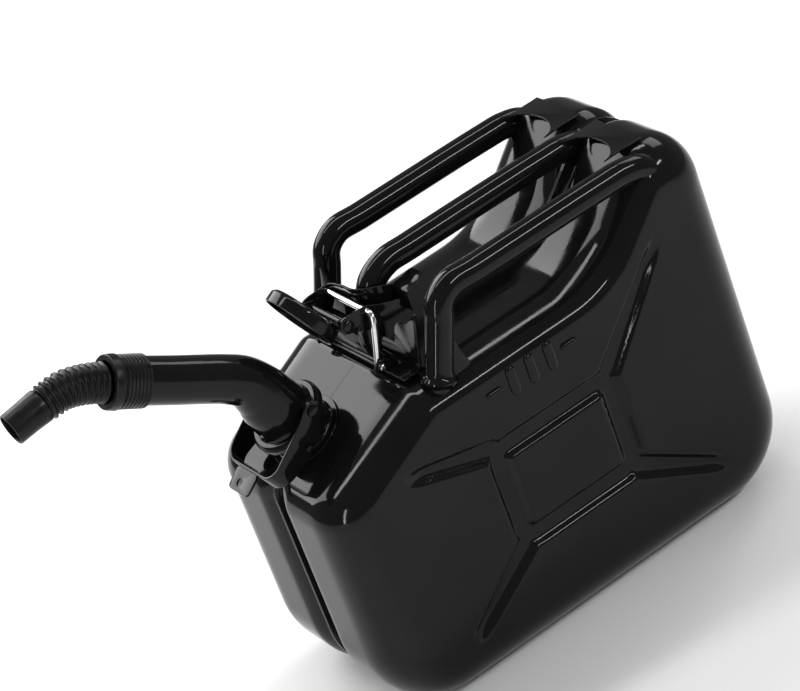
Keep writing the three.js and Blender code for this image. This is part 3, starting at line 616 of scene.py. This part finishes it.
def strip_across(path, y0, y1, thickness):
    """A strip of constant width, level across Y, that follows a path in the XZ plane."""
    path = np.asarray(path, float)
    run = np.gradient(path, axis=0)
    normals = [(-dz, 0, dx) for dx, dz in run]
    lows = [(x, y0, z) for x, z in path]
    highs = [(x, y1, z) for x, z in path]
    return ribbon(lows, highs, normals, thickness)


def plate_at_y(outline, y, thickness, radius=1.5, holes=()):
    """A flat plate that stands in the XZ plane at the given Y."""
    part = flat_plate(rounded(outline, radius), thickness, holes=holes)
    return placed(part, lambda u, v, w: (u, y + w, v))


# ---- handles ----
BAR_REAR = [(137, 258), (126, 269), (112, BAR_HEIGHT - 0.6), (96, BAR_HEIGHT)]
OUTER_FRONT = [
    (-10, BAR_HEIGHT), (-31, BAR_HEIGHT), (-41.5, 266.5), (-46.5, 254), (-59, 222), (-67, 200),
]
CENTRE_FRONT = [(-16, BAR_HEIGHT), (-36, 273), (-50, 266), (-57, 253), (-62, 236), (-65, 212)]
OUTER_DECK = 217.8
CENTRE_DECK = 221
WELD_FLARE = 3.4
WELD_HEIGHT = 2.4


def handle_bar(name, y, front, deck_height):
    """A bent tube that sinks into the hump behind and swells into its weld on the deck in front."""
    path = smooth_curve(in_plane(BAR_REAR + front, y), 170)
    radii = []
    for x, _, z in path:
        flare = math.exp(-(((z - deck_height) / WELD_HEIGHT) ** 2)) if x < 0 else 0
        radii.append(BAR_RADIUS + WELD_FLARE * flare)
    add_rod(name + "_pipe", path, radii, PAINT, "can", [name], sides=48)


for bar_name, bar_y, bar_front, bar_deck in (
    ("handle_bar_near", -BAR_SPACING, OUTER_FRONT, OUTER_DECK),
    ("handle_bar_centre", 0, CENTRE_FRONT, CENTRE_DECK),
    ("handle_bar_far", BAR_SPACING, OUTER_FRONT, OUTER_DECK),
):
    handle_bar(bar_name, bar_y, bar_front, bar_deck)

FOOT_WEB = [
    (-47, 252), (-43, 240), (-40.5, 226), (-37, 218.5), (-40, 215.5), (-56, 214), (-54, 240),
]
FOOT_WEB_Y = BAR_SPACING + 3
FOOT_WEB_THICKNESS = 2.4
for side, label in SIDES:
    web = plate_at_y(FOOT_WEB, side * FOOT_WEB_Y, FOOT_WEB_THICKNESS, 3)
    add_piece(f"foot_web_{label}", *web, PAINT, "can")

PLATE_FOOT = (-66.5, 224.3)
PLATE_TOP = (-56.5, 262)
PLATE_SHEET = 1.5
PLATE_HALF_WIDTH = 58.4
# across the plate and up it: inner end of the shelf beside the bars, and end of the low middle
PLATE_SHELF = (38, 28)
PLATE_DIP = (30, 12)
PLATE_FOOT_X = (-79.5, -65.2)


def front_plate():
    """The leaning sheet across the feet of the bars, raised at both ends, with its foot strip."""
    dx, dz = PLATE_TOP[0] - PLATE_FOOT[0], PLATE_TOP[1] - PLATE_FOOT[1]
    tall = math.hypot(dx, dz)
    lean = math.atan2(dx, dz)
    w = PLATE_HALF_WIDTH
    (shelf_y, shelf), (dip_y, dip) = PLATE_SHELF, PLATE_DIP
    half = [(w, 0), (w, tall), (w - 2, tall)]
    half += [
        (w - 16 + 14 * (1 - f) ** 2, shelf + (tall - shelf) * (1 - f) ** 3)
        for f in np.linspace(0.12, 1, 8)
    ]
    half.append(PLATE_SHELF)
    half += [
        (dip_y + (shelf_y - dip_y) * (1 - f) ** 2, dip + (shelf - dip) * (1 - f * f))
        for f in np.linspace(0.1, 1, 8)
    ]
    outline = half + [(-y, h) for y, h in reversed(half)]
    upright = flat_plate(outline, PLATE_SHEET)
    upright = placed(upright, lambda u, v, t: (
        PLATE_FOOT[0] + v * math.sin(lean) + (t + PLATE_SHEET / 2) * math.cos(lean),
        u,
        PLATE_FOOT[1] + v * math.cos(lean) - (t + PLATE_SHEET / 2) * math.sin(lean)))
    front, rear = PLATE_FOOT_X
    foot = flat_plate([(front, -w), (rear, -w), (rear, w), (front, w)], PLATE_SHEET)
    foot = placed(foot, lambda u, v, t: (u, v, PLATE_FOOT[1] + PLATE_SHEET / 2 + t))
    add_piece("front_plate", *joined([upright, foot]), PAINT, "can", ["handle_front_plate"])


front_plate()

REAR_PLATE_X = (108, 140)
REAR_PLATE_Z = 282
REAR_SLOT = 16
REAR_SHEET = 1.2


def rear_plate(name, side):
    """A flat web between two bars with a round-ended slot open to the front."""
    half = (BAR_SPACING - 2 * BAR_RADIUS) / 2 + 0.6
    middle = side * BAR_SPACING / 2
    angles = np.linspace(-math.pi / 2, math.pi / 2, 40)
    front, rear = REAR_PLATE_X
    outline = [(front + REAR_SLOT * math.cos(a), (half - 0.1) * math.sin(a)) for a in angles]
    outline += [(rear, half), (rear, -half)]
    part = flat_plate(outline, REAR_SHEET, bevel=0.3)
    part = placed(part, lambda u, v, t: (u, middle + v, REAR_PLATE_Z + t))
    add_piece(name + "_web", *part, PAINT, "can", [name])


for side, label in SIDES:
    rear_plate(f"handle_rear_plate_{label}", side)


# ---- closure ----
STRIP_Z = 226.85
STRIP_SHEET = 1.5


def hinge_bracket():
    """A strip on the deck with an upright ear at each end for the wire."""
    x, z = BAIL_PIVOT
    front, rear, end = x + 3, x + 12, EAR_Y + 1
    low, high = STRIP_Z - STRIP_SHEET / 2, STRIP_Z + STRIP_SHEET / 2
    strip = flat_plate([(front, -end), (rear, -end), (rear, end), (front, end)], STRIP_SHEET)
    parts = [placed(strip, lambda u, v, t: (u, v, STRIP_Z + t))]
    ear = [
        (x - 5.5, z - 3), (x - 5.5, z + 1.5), (x - 3, z + 4.5), (x + 3, z + 4.5),
        (rear, high), (rear, low), (x - 2, low),
    ]
    hole = (x, z, BAIL_RADIUS + GAP)
    for side, _ in SIDES:
        parts.append(plate_at_y(ear, side * (EAR_Y + EAR_SHEET / 2), EAR_SHEET, 1.2, [hole]))
    add_piece("hinge_ears", *joined(parts), PAINT, "can", ["hinge_bracket"])


hinge_bracket()


def bail_wire():
    """The closure wire: two legs that turn outwards through the ears, joined by a level top."""
    (px, pz), (tx, tz), w = BAIL_PIVOT, BAIL_TOP, BAIL_HALF_WIDTH
    side = [
        (px, EAR_Y + EAR_SHEET + 2, pz), (px, w + 1.8, pz), (px + 0.4, w, pz + 1.6),
        (px + 1.2, w, pz + 5), (tx - 5, w, tz - 20), (tx - 1.2, w, tz - 5),
        (tx - 0.3, w - 1.6, tz - 1.4), (tx, w - 5, tz), (tx, 12, tz),
    ]
    points = side + [(x, -y, z) for x, y, z in reversed(side)]
    path = smooth_curve(points, 260)
    radii = np.full(len(path), float(BAIL_RADIUS))
    radii[[0, -1]] = BAIL_RADIUS - 0.5
    add_rod("closure_wire", path, radii, ZINC, "bail", ["bail_wire"], sides=28)


bail_wire()

CAP_PIN = cap_point(CAP_PIN_LOCAL[0], 0, CAP_PIN_LOCAL[1])[::2]
LEVER_HALF_WIDTH = 24.8
LEVER_SHEET = 1.6
TAB_X = (-44, -25.7)
TAB_Y = (-31, -12.6)
TAB_Z = (264, 266.2)
# x, y, lower and upper height along the far wall, from the wire to the cross wall
LEVER_WALL = [
    (-70.5, 24, 257, 268.6),
    (-68.8, 21, 257.5, 269.5),
    (-67.5, 8, 259.5, 271.2),
    (-66.8, -3, 259.5, 271.2),
    (-63, -9.8, 258, 271),
    (-57, -12.8, 250.5, 269.8),
    (-43.4, -13.4, 249.3, 264.4),
]


def cam_lever():
    """A bent trough whose far wall passes in front of the centre bar and runs back beside it."""
    (px, pz), w, t = CAP_PIN, LEVER_HALF_WIDTH, LEVER_SHEET
    front = [
        (px + 1, pz - 6), (px - 4, pz - 4.6), (px - 6, pz - 1), (px - 5.5, pz + 2),
        (px - 4, pz + 5.3), (px, pz + 6.6),
    ]
    far_arm = front + [(-71, 268.7), (-68.6, 268.7), (-68.6, 257), (-73, 250.3)]
    near_arm = front + [
        (-71, 267.6), (-61, 262.5), (-52, 259.5), (TAB_X[0] + t, 257), (TAB_X[0] + t, 248.4),
        (-62, 248.4), (-73, 250.3),
    ]
    front_floor = [(-79, 252.7), (-76, 252.0), (-73, 251.1)]
    near_floor = smooth_curve([(-74, 251.3), (-62, 249.2), (-43, 249.2)], 20)
    wall = smooth_curve(LEVER_WALL, 70)
    run = np.gradient(wall[:, :2], axis=0)
    parts = [
        plate_at_y(far_arm, w - t / 2, t, 3),
        plate_at_y(near_arm, t / 2 - w, t, 3),
        ribbon(wall[:, [0, 1, 2]], wall[:, [0, 1, 3]], [(dy, -dx, 0) for dx, dy in run], t),
        strip_across(front_floor, 0.4 - w, w - 0.4, t),
        strip_across(near_floor, 0.4 - w, -13, t),
    ]
    middle, low, high = TAB_X[0] + t / 2, TAB_Z[0], TAB_Z[1] - 0.8
    bend = [
        (middle, 249), (middle, 255), (middle, low - 4), (middle + 0.8, low - 1.6),
        (middle + 3, low - 0.6), (middle + 9, low), (TAB_X[1] - 4, high), (TAB_X[1], high),
    ]
    parts.append(strip_across(smooth_curve(bend, 60), *TAB_Y, t))
    add_piece("lever_and_thumb_tab", *joined(parts), PAINT, "lever", ["cam_lever"])


cam_lever()


STATION_STEP = 0.002  # keeps repeated stations apart


def headed_pin(name, place, stations, material, body, stands_for, sides=36):
    """A turned pin from (position along it, radius) stations."""
    path = [place(a + STATION_STEP * i) for i, (a, _) in enumerate(stations)]
    add_rod(name, path, [r for _, r in stations], material, body, stands_for, sides=sides)


RIVET_END = [(25.1, 2.5), (25.2, 4.2), (26.0, 4.1), (26.5, 3.5), (26.7, 2.6)]
headed_pin(
    "cap_rivet", lambda y: (CAP_PIN[0], y, CAP_PIN[1]),
    [(-a, r) for a, r in reversed(RIVET_END)] + RIVET_END, PAINT, "lever", ["cap_pin"])

CAP_WALL = 1.4


def closure_cap():
    """The round cap with its rolled rim, and the rubber seal in it."""
    r, d, w = CAP_RADIUS, CAP_DEPTH, CAP_WALL
    shell = [
        (r - w, 0), (r, 0), (r, d - 2.4), (r - 2.4, d), (9, d), (7, d - 0.6), (0, d - 0.6),
        (0, d - w), (r - 3, d - w), (r - w, d - 3),
    ]
    add_turned("cap_cup", shell, cap_point, PAINT, "cap", ["cap_shell"], segments=96, radius=0.9)
    seal = [
        (r - 9, 3.6), (r - 7, 3), (r - 5.4, 3.6), (r - 4, 3), (r - w - GAP, 3), (r - w - GAP, 6),
        (r - w - 1.9, 8), (r - 9, 8),
    ]
    add_turned(
        "cap_seal", seal, cap_point, BLACK_RUBBER, "cap", ["cap_gasket"], segments=96, radius=0.8)


closure_cap()


STRAP_SHEET = 1.5
STRAP_EAR_Y = 21.25
STRAP_TOP = 19.9
STRAP_BEND = 2


def cap_bracket():
    """A strap across the cap's back whose ends turn up as ears for the pin."""
    ear_y, back, top, bend = STRAP_EAR_Y, CAP_DEPTH + GAP + STRAP_SHEET / 2, STRAP_TOP, STRAP_BEND
    arc = [
        (ear_y - bend + bend * math.cos(a), back + bend - bend * math.sin(a))
        for a in np.linspace(0, math.pi / 2, 8)
    ]
    half = [(ear_y, h) for h in np.linspace(top, back + 2.2, 14)] + arc + [(12, back), (6, back)]
    plan = half + [(0, back)] + [(-y, h) for y, h in reversed(half)]
    run = np.gradient(np.array(plan), axis=0)
    lows, highs, normals = [], [], []
    for (y, h), (dy, dh) in zip(plan, run):
        near_edge = np.interp(h, [back, 11.5, 15.5, 17, top], [6, 8, 11, 11.9, 15])
        far_edge = np.interp(h, [back, 17, 19, top], [22, 22, 20.6, 19])
        lows.append(cap_point(near_edge, y, h))
        highs.append(cap_point(far_edge, y, h))
        normals.append(np.subtract(cap_point(0, -dh, dy), cap_point(0, 0, 0)))
    strap = ribbon(lows, highs, normals, STRAP_SHEET)
    add_piece("cap_strap", *strap, PAINT, "cap", ["cap_bracket"])


cap_bracket()


# ---- neck ----
def neck():
    """The filler neck with weld foot and rolled lip, the breather pipe in it and two side studs."""
    r, w, top = NECK_RADIUS, NECK_WALL, NECK_HEIGHT
    profile = [
        (r - w, -9), (r, -9), (r, GAP), (r + 5, GAP), (r + 5, GAP + 1.3), (r + 1.2, GAP + 1.5),
        (r, GAP + 3), (r, top - 3.4), (r + 1.8, top - 2.2), (r + 1.8, top - 0.8), (r + 0.8, top),
        (r - w, top),
    ]
    add_turned(
        "neck_pipe", profile, neck_point, PAINT, "can", ["neck_tube"], segments=96, radius=0.7)
    breather = smooth_curve([(15.2, 0, 15), (15.2, 0, -6), (18, 0, -30), (30, 0, -48)], 40)
    path = [neck_point(*p) for p in breather]
    add_tube("breather_pipe", path, 4, 3.2, ZINC, "can", ["vent_tube"], sides=28)
    stations = [(21.5, 2.4), (30.8, 2.4), (31.3, 2.1), (31.6, 1.5)]
    for side, label in SIDES:
        headed_pin(
            f"neck_stud_{label}_pin", lambda a: neck_point(STUD[0], side * a, STUD[1]), stations,
            PAINT, "can", [f"neck_stud_{label}"], sides=28)


neck()

# ---- spout: base cup, seal and rivets ----
FLANGE_RADIUS = 27.5
LUG_SHEET = 1.5
YOKE_PIVOT = (10.5, 27)
YOKE_Y = 29.2
YOKE_SHEET = 1.6


def spout_base():
    """The cup over the neck's lip, its two lugs, the pale seal under it and the clamp's rivets."""
    r, roof, low = FLANGE_RADIUS, NECK_HEIGHT + 1.6, 16.6
    cup = [
        (r - 1.6, low), (r, low), (r, roof), (r - 2, roof + 2), (18, roof + 2), (18, roof),
        (r - 1.6, roof),
    ]
    add_turned(
        "spout_cup", cup, neck_point, PAINT, "spout", ["spout_flange"], segments=96, radius=1.0)
    lug = [(-1.5, 17), (18.5, 17), (16.5, 29), (13, 32.4), (8, 32.4), (4.5, 28)]
    for side, label in SIDES:
        y = side * (r - LUG_SHEET / 2)
        part = flat_plate(rounded(lug, 3), LUG_SHEET)
        part = placed(part, lambda u, v, t: neck_point(u, y + t, v))
        add_piece(f"spout_lug_{label}", *part, PAINT, "spout")
    low, high = NECK_HEIGHT + GAP, NECK_HEIGHT + GAP + 1
    seal = [(17.8, low), (24.6, low), (24.6, high), (17.8, high)]
    add_turned(
        "spout_seal", seal, neck_point, GREY_RUBBER, "spout", ["spout_gasket"], radius=0.3)
    stations = [
        (23.5, 3.2), (23.7, 3.8), (25.5, 3.8), (25.6, 2.5), (31.1, 2.5), (31.15, 4.3), (32.0, 4.1),
        (32.5, 3.2), (32.7, 2.0),
    ]
    s, h = YOKE_PIVOT
    for side, label in SIDES:
        headed_pin(
            f"clamp_rivet_{label}_head", lambda a: neck_point(s, side * a, h), stations,
            PAINT, "spout", [f"clamp_rivet_{label}"])


spout_base()

# ---- spout: clamp ----
YOKE_FRONT = -42.2
YOKE_CORNER = 11.2
YOKE_REAR = 17
YOKE_TOP = [
    (-46, 20.2), (-39, 21.4), (-18, 25.9), (-1.7, 29.7), (2.5, 31), (6, 32.4), (9.5, 33.4),
    (12.5, 33.0), (14.5, 31.8), (16, 30.2), (YOKE_REAR, 28.2),
]
YOKE_BOTTOM = [
    (-46, 9.5), (-38, 8.2), (-16, 6.6), (-13.2, 6.6), (-6.4, 12.8), (-1.3, 8.3), (3, 14),
    (12, 20.4), (15, 23.2), (16.3, 25.4), (YOKE_REAR, 27.6),
]
# s and y corners of the locking tab, its hole as s, y and radius, and how it slopes from its start
LOCK_TAB = [(-42, 0), (-42, 25), (-58, 25), (-58, 0)]
LOCK_HOLE = (-52, 15, 2.6)
LOCK_START = -42.4
LOCK_HEIGHT = 10.55
LOCK_SLOPE = 0.19
STUD_ROOM = 3.0


def yoke_bottom(s):
    """The clamp's lower edge along its arm, with the round seat that rests on the neck's stud."""
    low = np.interp(s, *zip(*YOKE_BOTTOM))
    if abs(s - STUD[0]) < STUD_ROOM:
        low = max(low, STUD[1] + math.sqrt(STUD_ROOM**2 - (s - STUD[0]) ** 2))
    return low


def clamp_yoke():
    """The strap that runs from one rivet round the front to the other, with its locking tab."""
    # s, y and the sheet's normal there
    arm = [(s, -YOKE_Y, 0, -1) for s in np.arange(YOKE_REAR, YOKE_FRONT + YOKE_CORNER, -0.6)]
    corner = []
    for a in np.linspace(0, math.pi / 2, 14):
        s = YOKE_FRONT + YOKE_CORNER * (1 - math.sin(a))
        y = YOKE_CORNER * (1 - math.cos(a)) - YOKE_Y
        corner.append((s, y, -math.sin(a), -math.cos(a)))
    half = arm + corner + [(YOKE_FRONT, y, -1, 0) for y in (-16, -10, -4)]
    plan = half + [(s, -y, ns, -ny) for s, y, ns, ny in reversed(half)]
    origin = np.array(neck_point(0, 0, 0))
    lows = [neck_point(s, y, yoke_bottom(s)) for s, y, _, _ in plan]
    highs = [neck_point(s, y, np.interp(s, *zip(*YOKE_TOP))) for s, y, _, _ in plan]
    normals = [np.array(neck_point(ns, ny, 0)) - origin for _, _, ns, ny in plan]
    strap = ribbon(lows, highs, normals, YOKE_SHEET)
    tab = flat_plate(rounded(LOCK_TAB, 4), YOKE_SHEET, holes=[LOCK_HOLE])
    tab = placed(tab, lambda u, v, t: neck_point(
        u, v, LOCK_HEIGHT + (u - LOCK_START) * LOCK_SLOPE + t))
    add_piece("clamp_strap", *joined([strap, tab]), PAINT, "clamp", ["clamp_yoke"])


clamp_yoke()

# ---- spout: elbow, collar, hose and nozzle ----
# x, y, z and outer radius
ELBOW_POINTS = [
    (*neck_point(0, 0, 23.5), 22.6),
    (*neck_point(0, 0, 26.5), 21.4),
    (-147.6, 0, 231, 20.6),
    (-151.8, 0, 243, 18.8),
    (-159, 0, 255, 17),
    (-171, 0, 264.6, 16.2),
    (-186, 0, 274, 16),
    (-201, 0, 283, 16),
    (-222, 0, 296, 16),
]
ELBOW_WALL = 1.6
elbow_curve = smooth_curve(ELBOW_POINTS, 130)
elbow_path, elbow_radii = elbow_curve[:, :3], elbow_curve[:, 3]
add_tube(
    "elbow_pipe", elbow_path, elbow_radii, elbow_radii - ELBOW_WALL, PAINT, "spout",
    ["spout_elbow"], sides=72)

COLLAR_ENDS = np.array([(-222.4, 0, 296.2), (-245, 0, 309.4)])
COLLAR_BORE = 13.9
COLLAR_GROOVES = 7
# shares of the collar's length, and shares of a groove's pitch, with the outer radius there
COLLAR_START = 0.012
COLLAR_RIBBED = 0.70
COLLAR_GROOVE = [(0.5, 17.65), (0.6, 17.4), (0.7, 16.9), (0.85, 16.9), (0.95, 17.4)]
COLLAR_RING = [(0.735, 17.7), (0.75, 18.1), (0.77, 18.25), (0.93, 17.9), (0.98, 17.7), (1.0, 17.1)]


def collar():
    """The collar that holds the hose: fine grooves, then a plain ring that stands prouder."""
    stations = [(0.0, 17.0), (COLLAR_START, 17.6)]
    pitch = COLLAR_RIBBED / COLLAR_GROOVES
    for k in range(COLLAR_GROOVES):
        start = COLLAR_START + k * pitch
        stations += [(start + f * pitch, r) for f, r in COLLAR_GROOVE]
    stations += COLLAR_RING
    path = [COLLAR_ENDS[0] + (COLLAR_ENDS[1] - COLLAR_ENDS[0]) * f for f, _ in stations]
    outer = [r for _, r in stations]
    add_tube("hose_collar", path, outer, COLLAR_BORE, PLASTIC, "spout", ["spout_collar"], sides=72)


collar()

HOSE_POINTS = [(-245.4, 309.7), (-258, 316.2), (-272, 320.5), (-287, 319.8)]
HOSE_FOLDS = 11
STEPS_PER_FOLD = 12
HOSE_RADIUS = 12.7
HOSE_TAPER = 1.1
HOSE_FOLD_RISE = 0.85
HOSE_WALL = 1.4


def hose():
    """The ribbed hose between collar and nozzle."""
    steps = HOSE_FOLDS * STEPS_PER_FOLD
    path = smooth_curve(in_plane(HOSE_POINTS), steps + 1)
    share = np.linspace(0, 1, steps + 1)
    wave = np.cos(share * HOSE_FOLDS * 2 * math.pi)
    outer = HOSE_RADIUS - HOSE_TAPER * share + HOSE_FOLD_RISE * np.sign(-wave) * np.abs(wave) ** 0.7
    obj = add_tube(
        "ribbed_hose", path, outer, outer - HOSE_WALL, PLASTIC, None, ["spout_hose"], sides=64,
        sharp_degrees=60)
    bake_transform(obj)


hose()

# x, z, outer and inner radius
NOZZLE_STATIONS = [
    (-287.6, 319.74, 11.2, 9.6),
    (-288.6, 319.6, 11.6, 9.6),
    (-292, 319.25, 11.5, 9.6),
    (-300, 318.15, 11.1, 9.6),
    (-311.6, 316.4, 11.0, 9.6),
    (-312.6, 316.25, 10.8, 9.7),
    (-313, 316.2, 10.4, 10.0),
]
nozzle_x, nozzle_z, nozzle_outer, nozzle_inner = zip(*NOZZLE_STATIONS)
add_tube(
    "pouring_nozzle", in_plane(zip(nozzle_x, nozzle_z)), nozzle_outer, nozzle_inner, PLASTIC,
    "nozzle", ["spout_nozzle"], sides=64)


# ---- stage, light and camera ----
def add_area_light(name, place, aim, size, power):
    """A rectangular lamp that faces a point."""
    light = bpy.data.lights.new(name, "AREA")
    light.shape = "RECTANGLE"
    light.size, light.size_y = size
    light.energy = power
    obj = bpy.data.objects.new(name, light)
    obj.location = place
    obj.rotation_euler = (Vector(aim) - Vector(place)).to_track_quat("-Z", "Y").to_euler()
    bpy.context.scene.collection.objects.link(obj)


FLOOR_REACH = 8


def pale_floor():
    """A wide matt floor, almost white."""
    mesh = bpy.data.meshes.new("floor")
    corners = [(-1, -1), (1, -1), (1, 1), (-1, 1)]
    points = [(FLOOR_REACH * x, FLOOR_REACH * y, 0) for x, y in corners]
    mesh.from_pydata(points, [], [(0, 1, 2, 3)])
    floor = bpy.data.objects.new("floor", mesh)
    bpy.context.scene.collection.objects.link(floor)
    material, tree, shader, place, node = new_material("pale_floor")
    tint = colour_between(node, noise(node, place, 2), (0.86, 0.86, 0.86), (0.88, 0.88, 0.88))
    tree.links.new(tint, shader.inputs["Base Color"])
    shader.inputs["Roughness"].default_value = 0.9
    shader.inputs["Specular IOR Level"].default_value = 0.1
    mesh.materials.append(material)


pale_floor()
can_middle = Vector((CAN_MIDDLE, 0, 0.15))
behind_can = can_middle + Vector((0.5, -0.2, -0.15))

# name, direction and distance from the can's middle, point aimed at, size, watts
LAMPS = [
    ("shoulder_softbox", (-0.25, 0.8, 0.55), 1.6, can_middle, (1.5, 1.0), 26),
    ("top_strip", (0.05, 0.3, 1), 2.4, can_middle, (2.8, 0.25), 24),
    ("front_strip", (0.35, -0.7, 0.63), 1.8, can_middle, (1.4, 0.1), 13),
    ("left_strip", (-0.85, -0.45, 0.28), 1.8, can_middle, (0.12, 1.2), 7),
    ("floor_fill", (1.0, 0.25, 0.9), 2.2, behind_can, (0.8, 0.8), 8),
]
for lamp_name, direction, distance, aim, size, power in LAMPS:
    place = can_middle + Vector(direction).normalized() * distance
    add_area_light(lamp_name, place, aim, size, power)

WORLD_STRENGTH = 0.22
world = bpy.data.worlds.new("studio")
world.use_nodes = True
background = world.node_tree.nodes["Background"]
background.inputs["Color"].default_value = (1, 1, 1, 1)
background.inputs["Strength"].default_value = WORLD_STRENGTH
bpy.context.scene.world = world

# where the camera stands, in the can's frame, and which way its right and upward edges point
CAMERA_PLACE = (-839.7, -1805.5, 1327.1)
CAMERA_RIGHT = (0.784, -0.537, -0.313)
CAMERA_UP = (0.513, 0.276, 0.812)
CAMERA_LENS = 154.8
camera_data = bpy.data.cameras.new("camera")
camera_data.lens = CAMERA_LENS
camera_data.sensor_width = 36
camera_data.clip_end = 50
camera = bpy.data.objects.new("camera", camera_data)
right = Vector(CAMERA_RIGHT).normalized()
back = right.cross(Vector(CAMERA_UP)).normalized()
up = back.cross(right)
turn = Matrix((right, up, back)).transposed().to_4x4()
camera.matrix_world = Matrix.Translation(Vector(row_points([CAMERA_PLACE])[0])) @ turn
bpy.context.scene.collection.objects.link(camera)
bpy.context.scene.camera = camera
bpy.context.scene.view_settings.view_transform = "Standard"
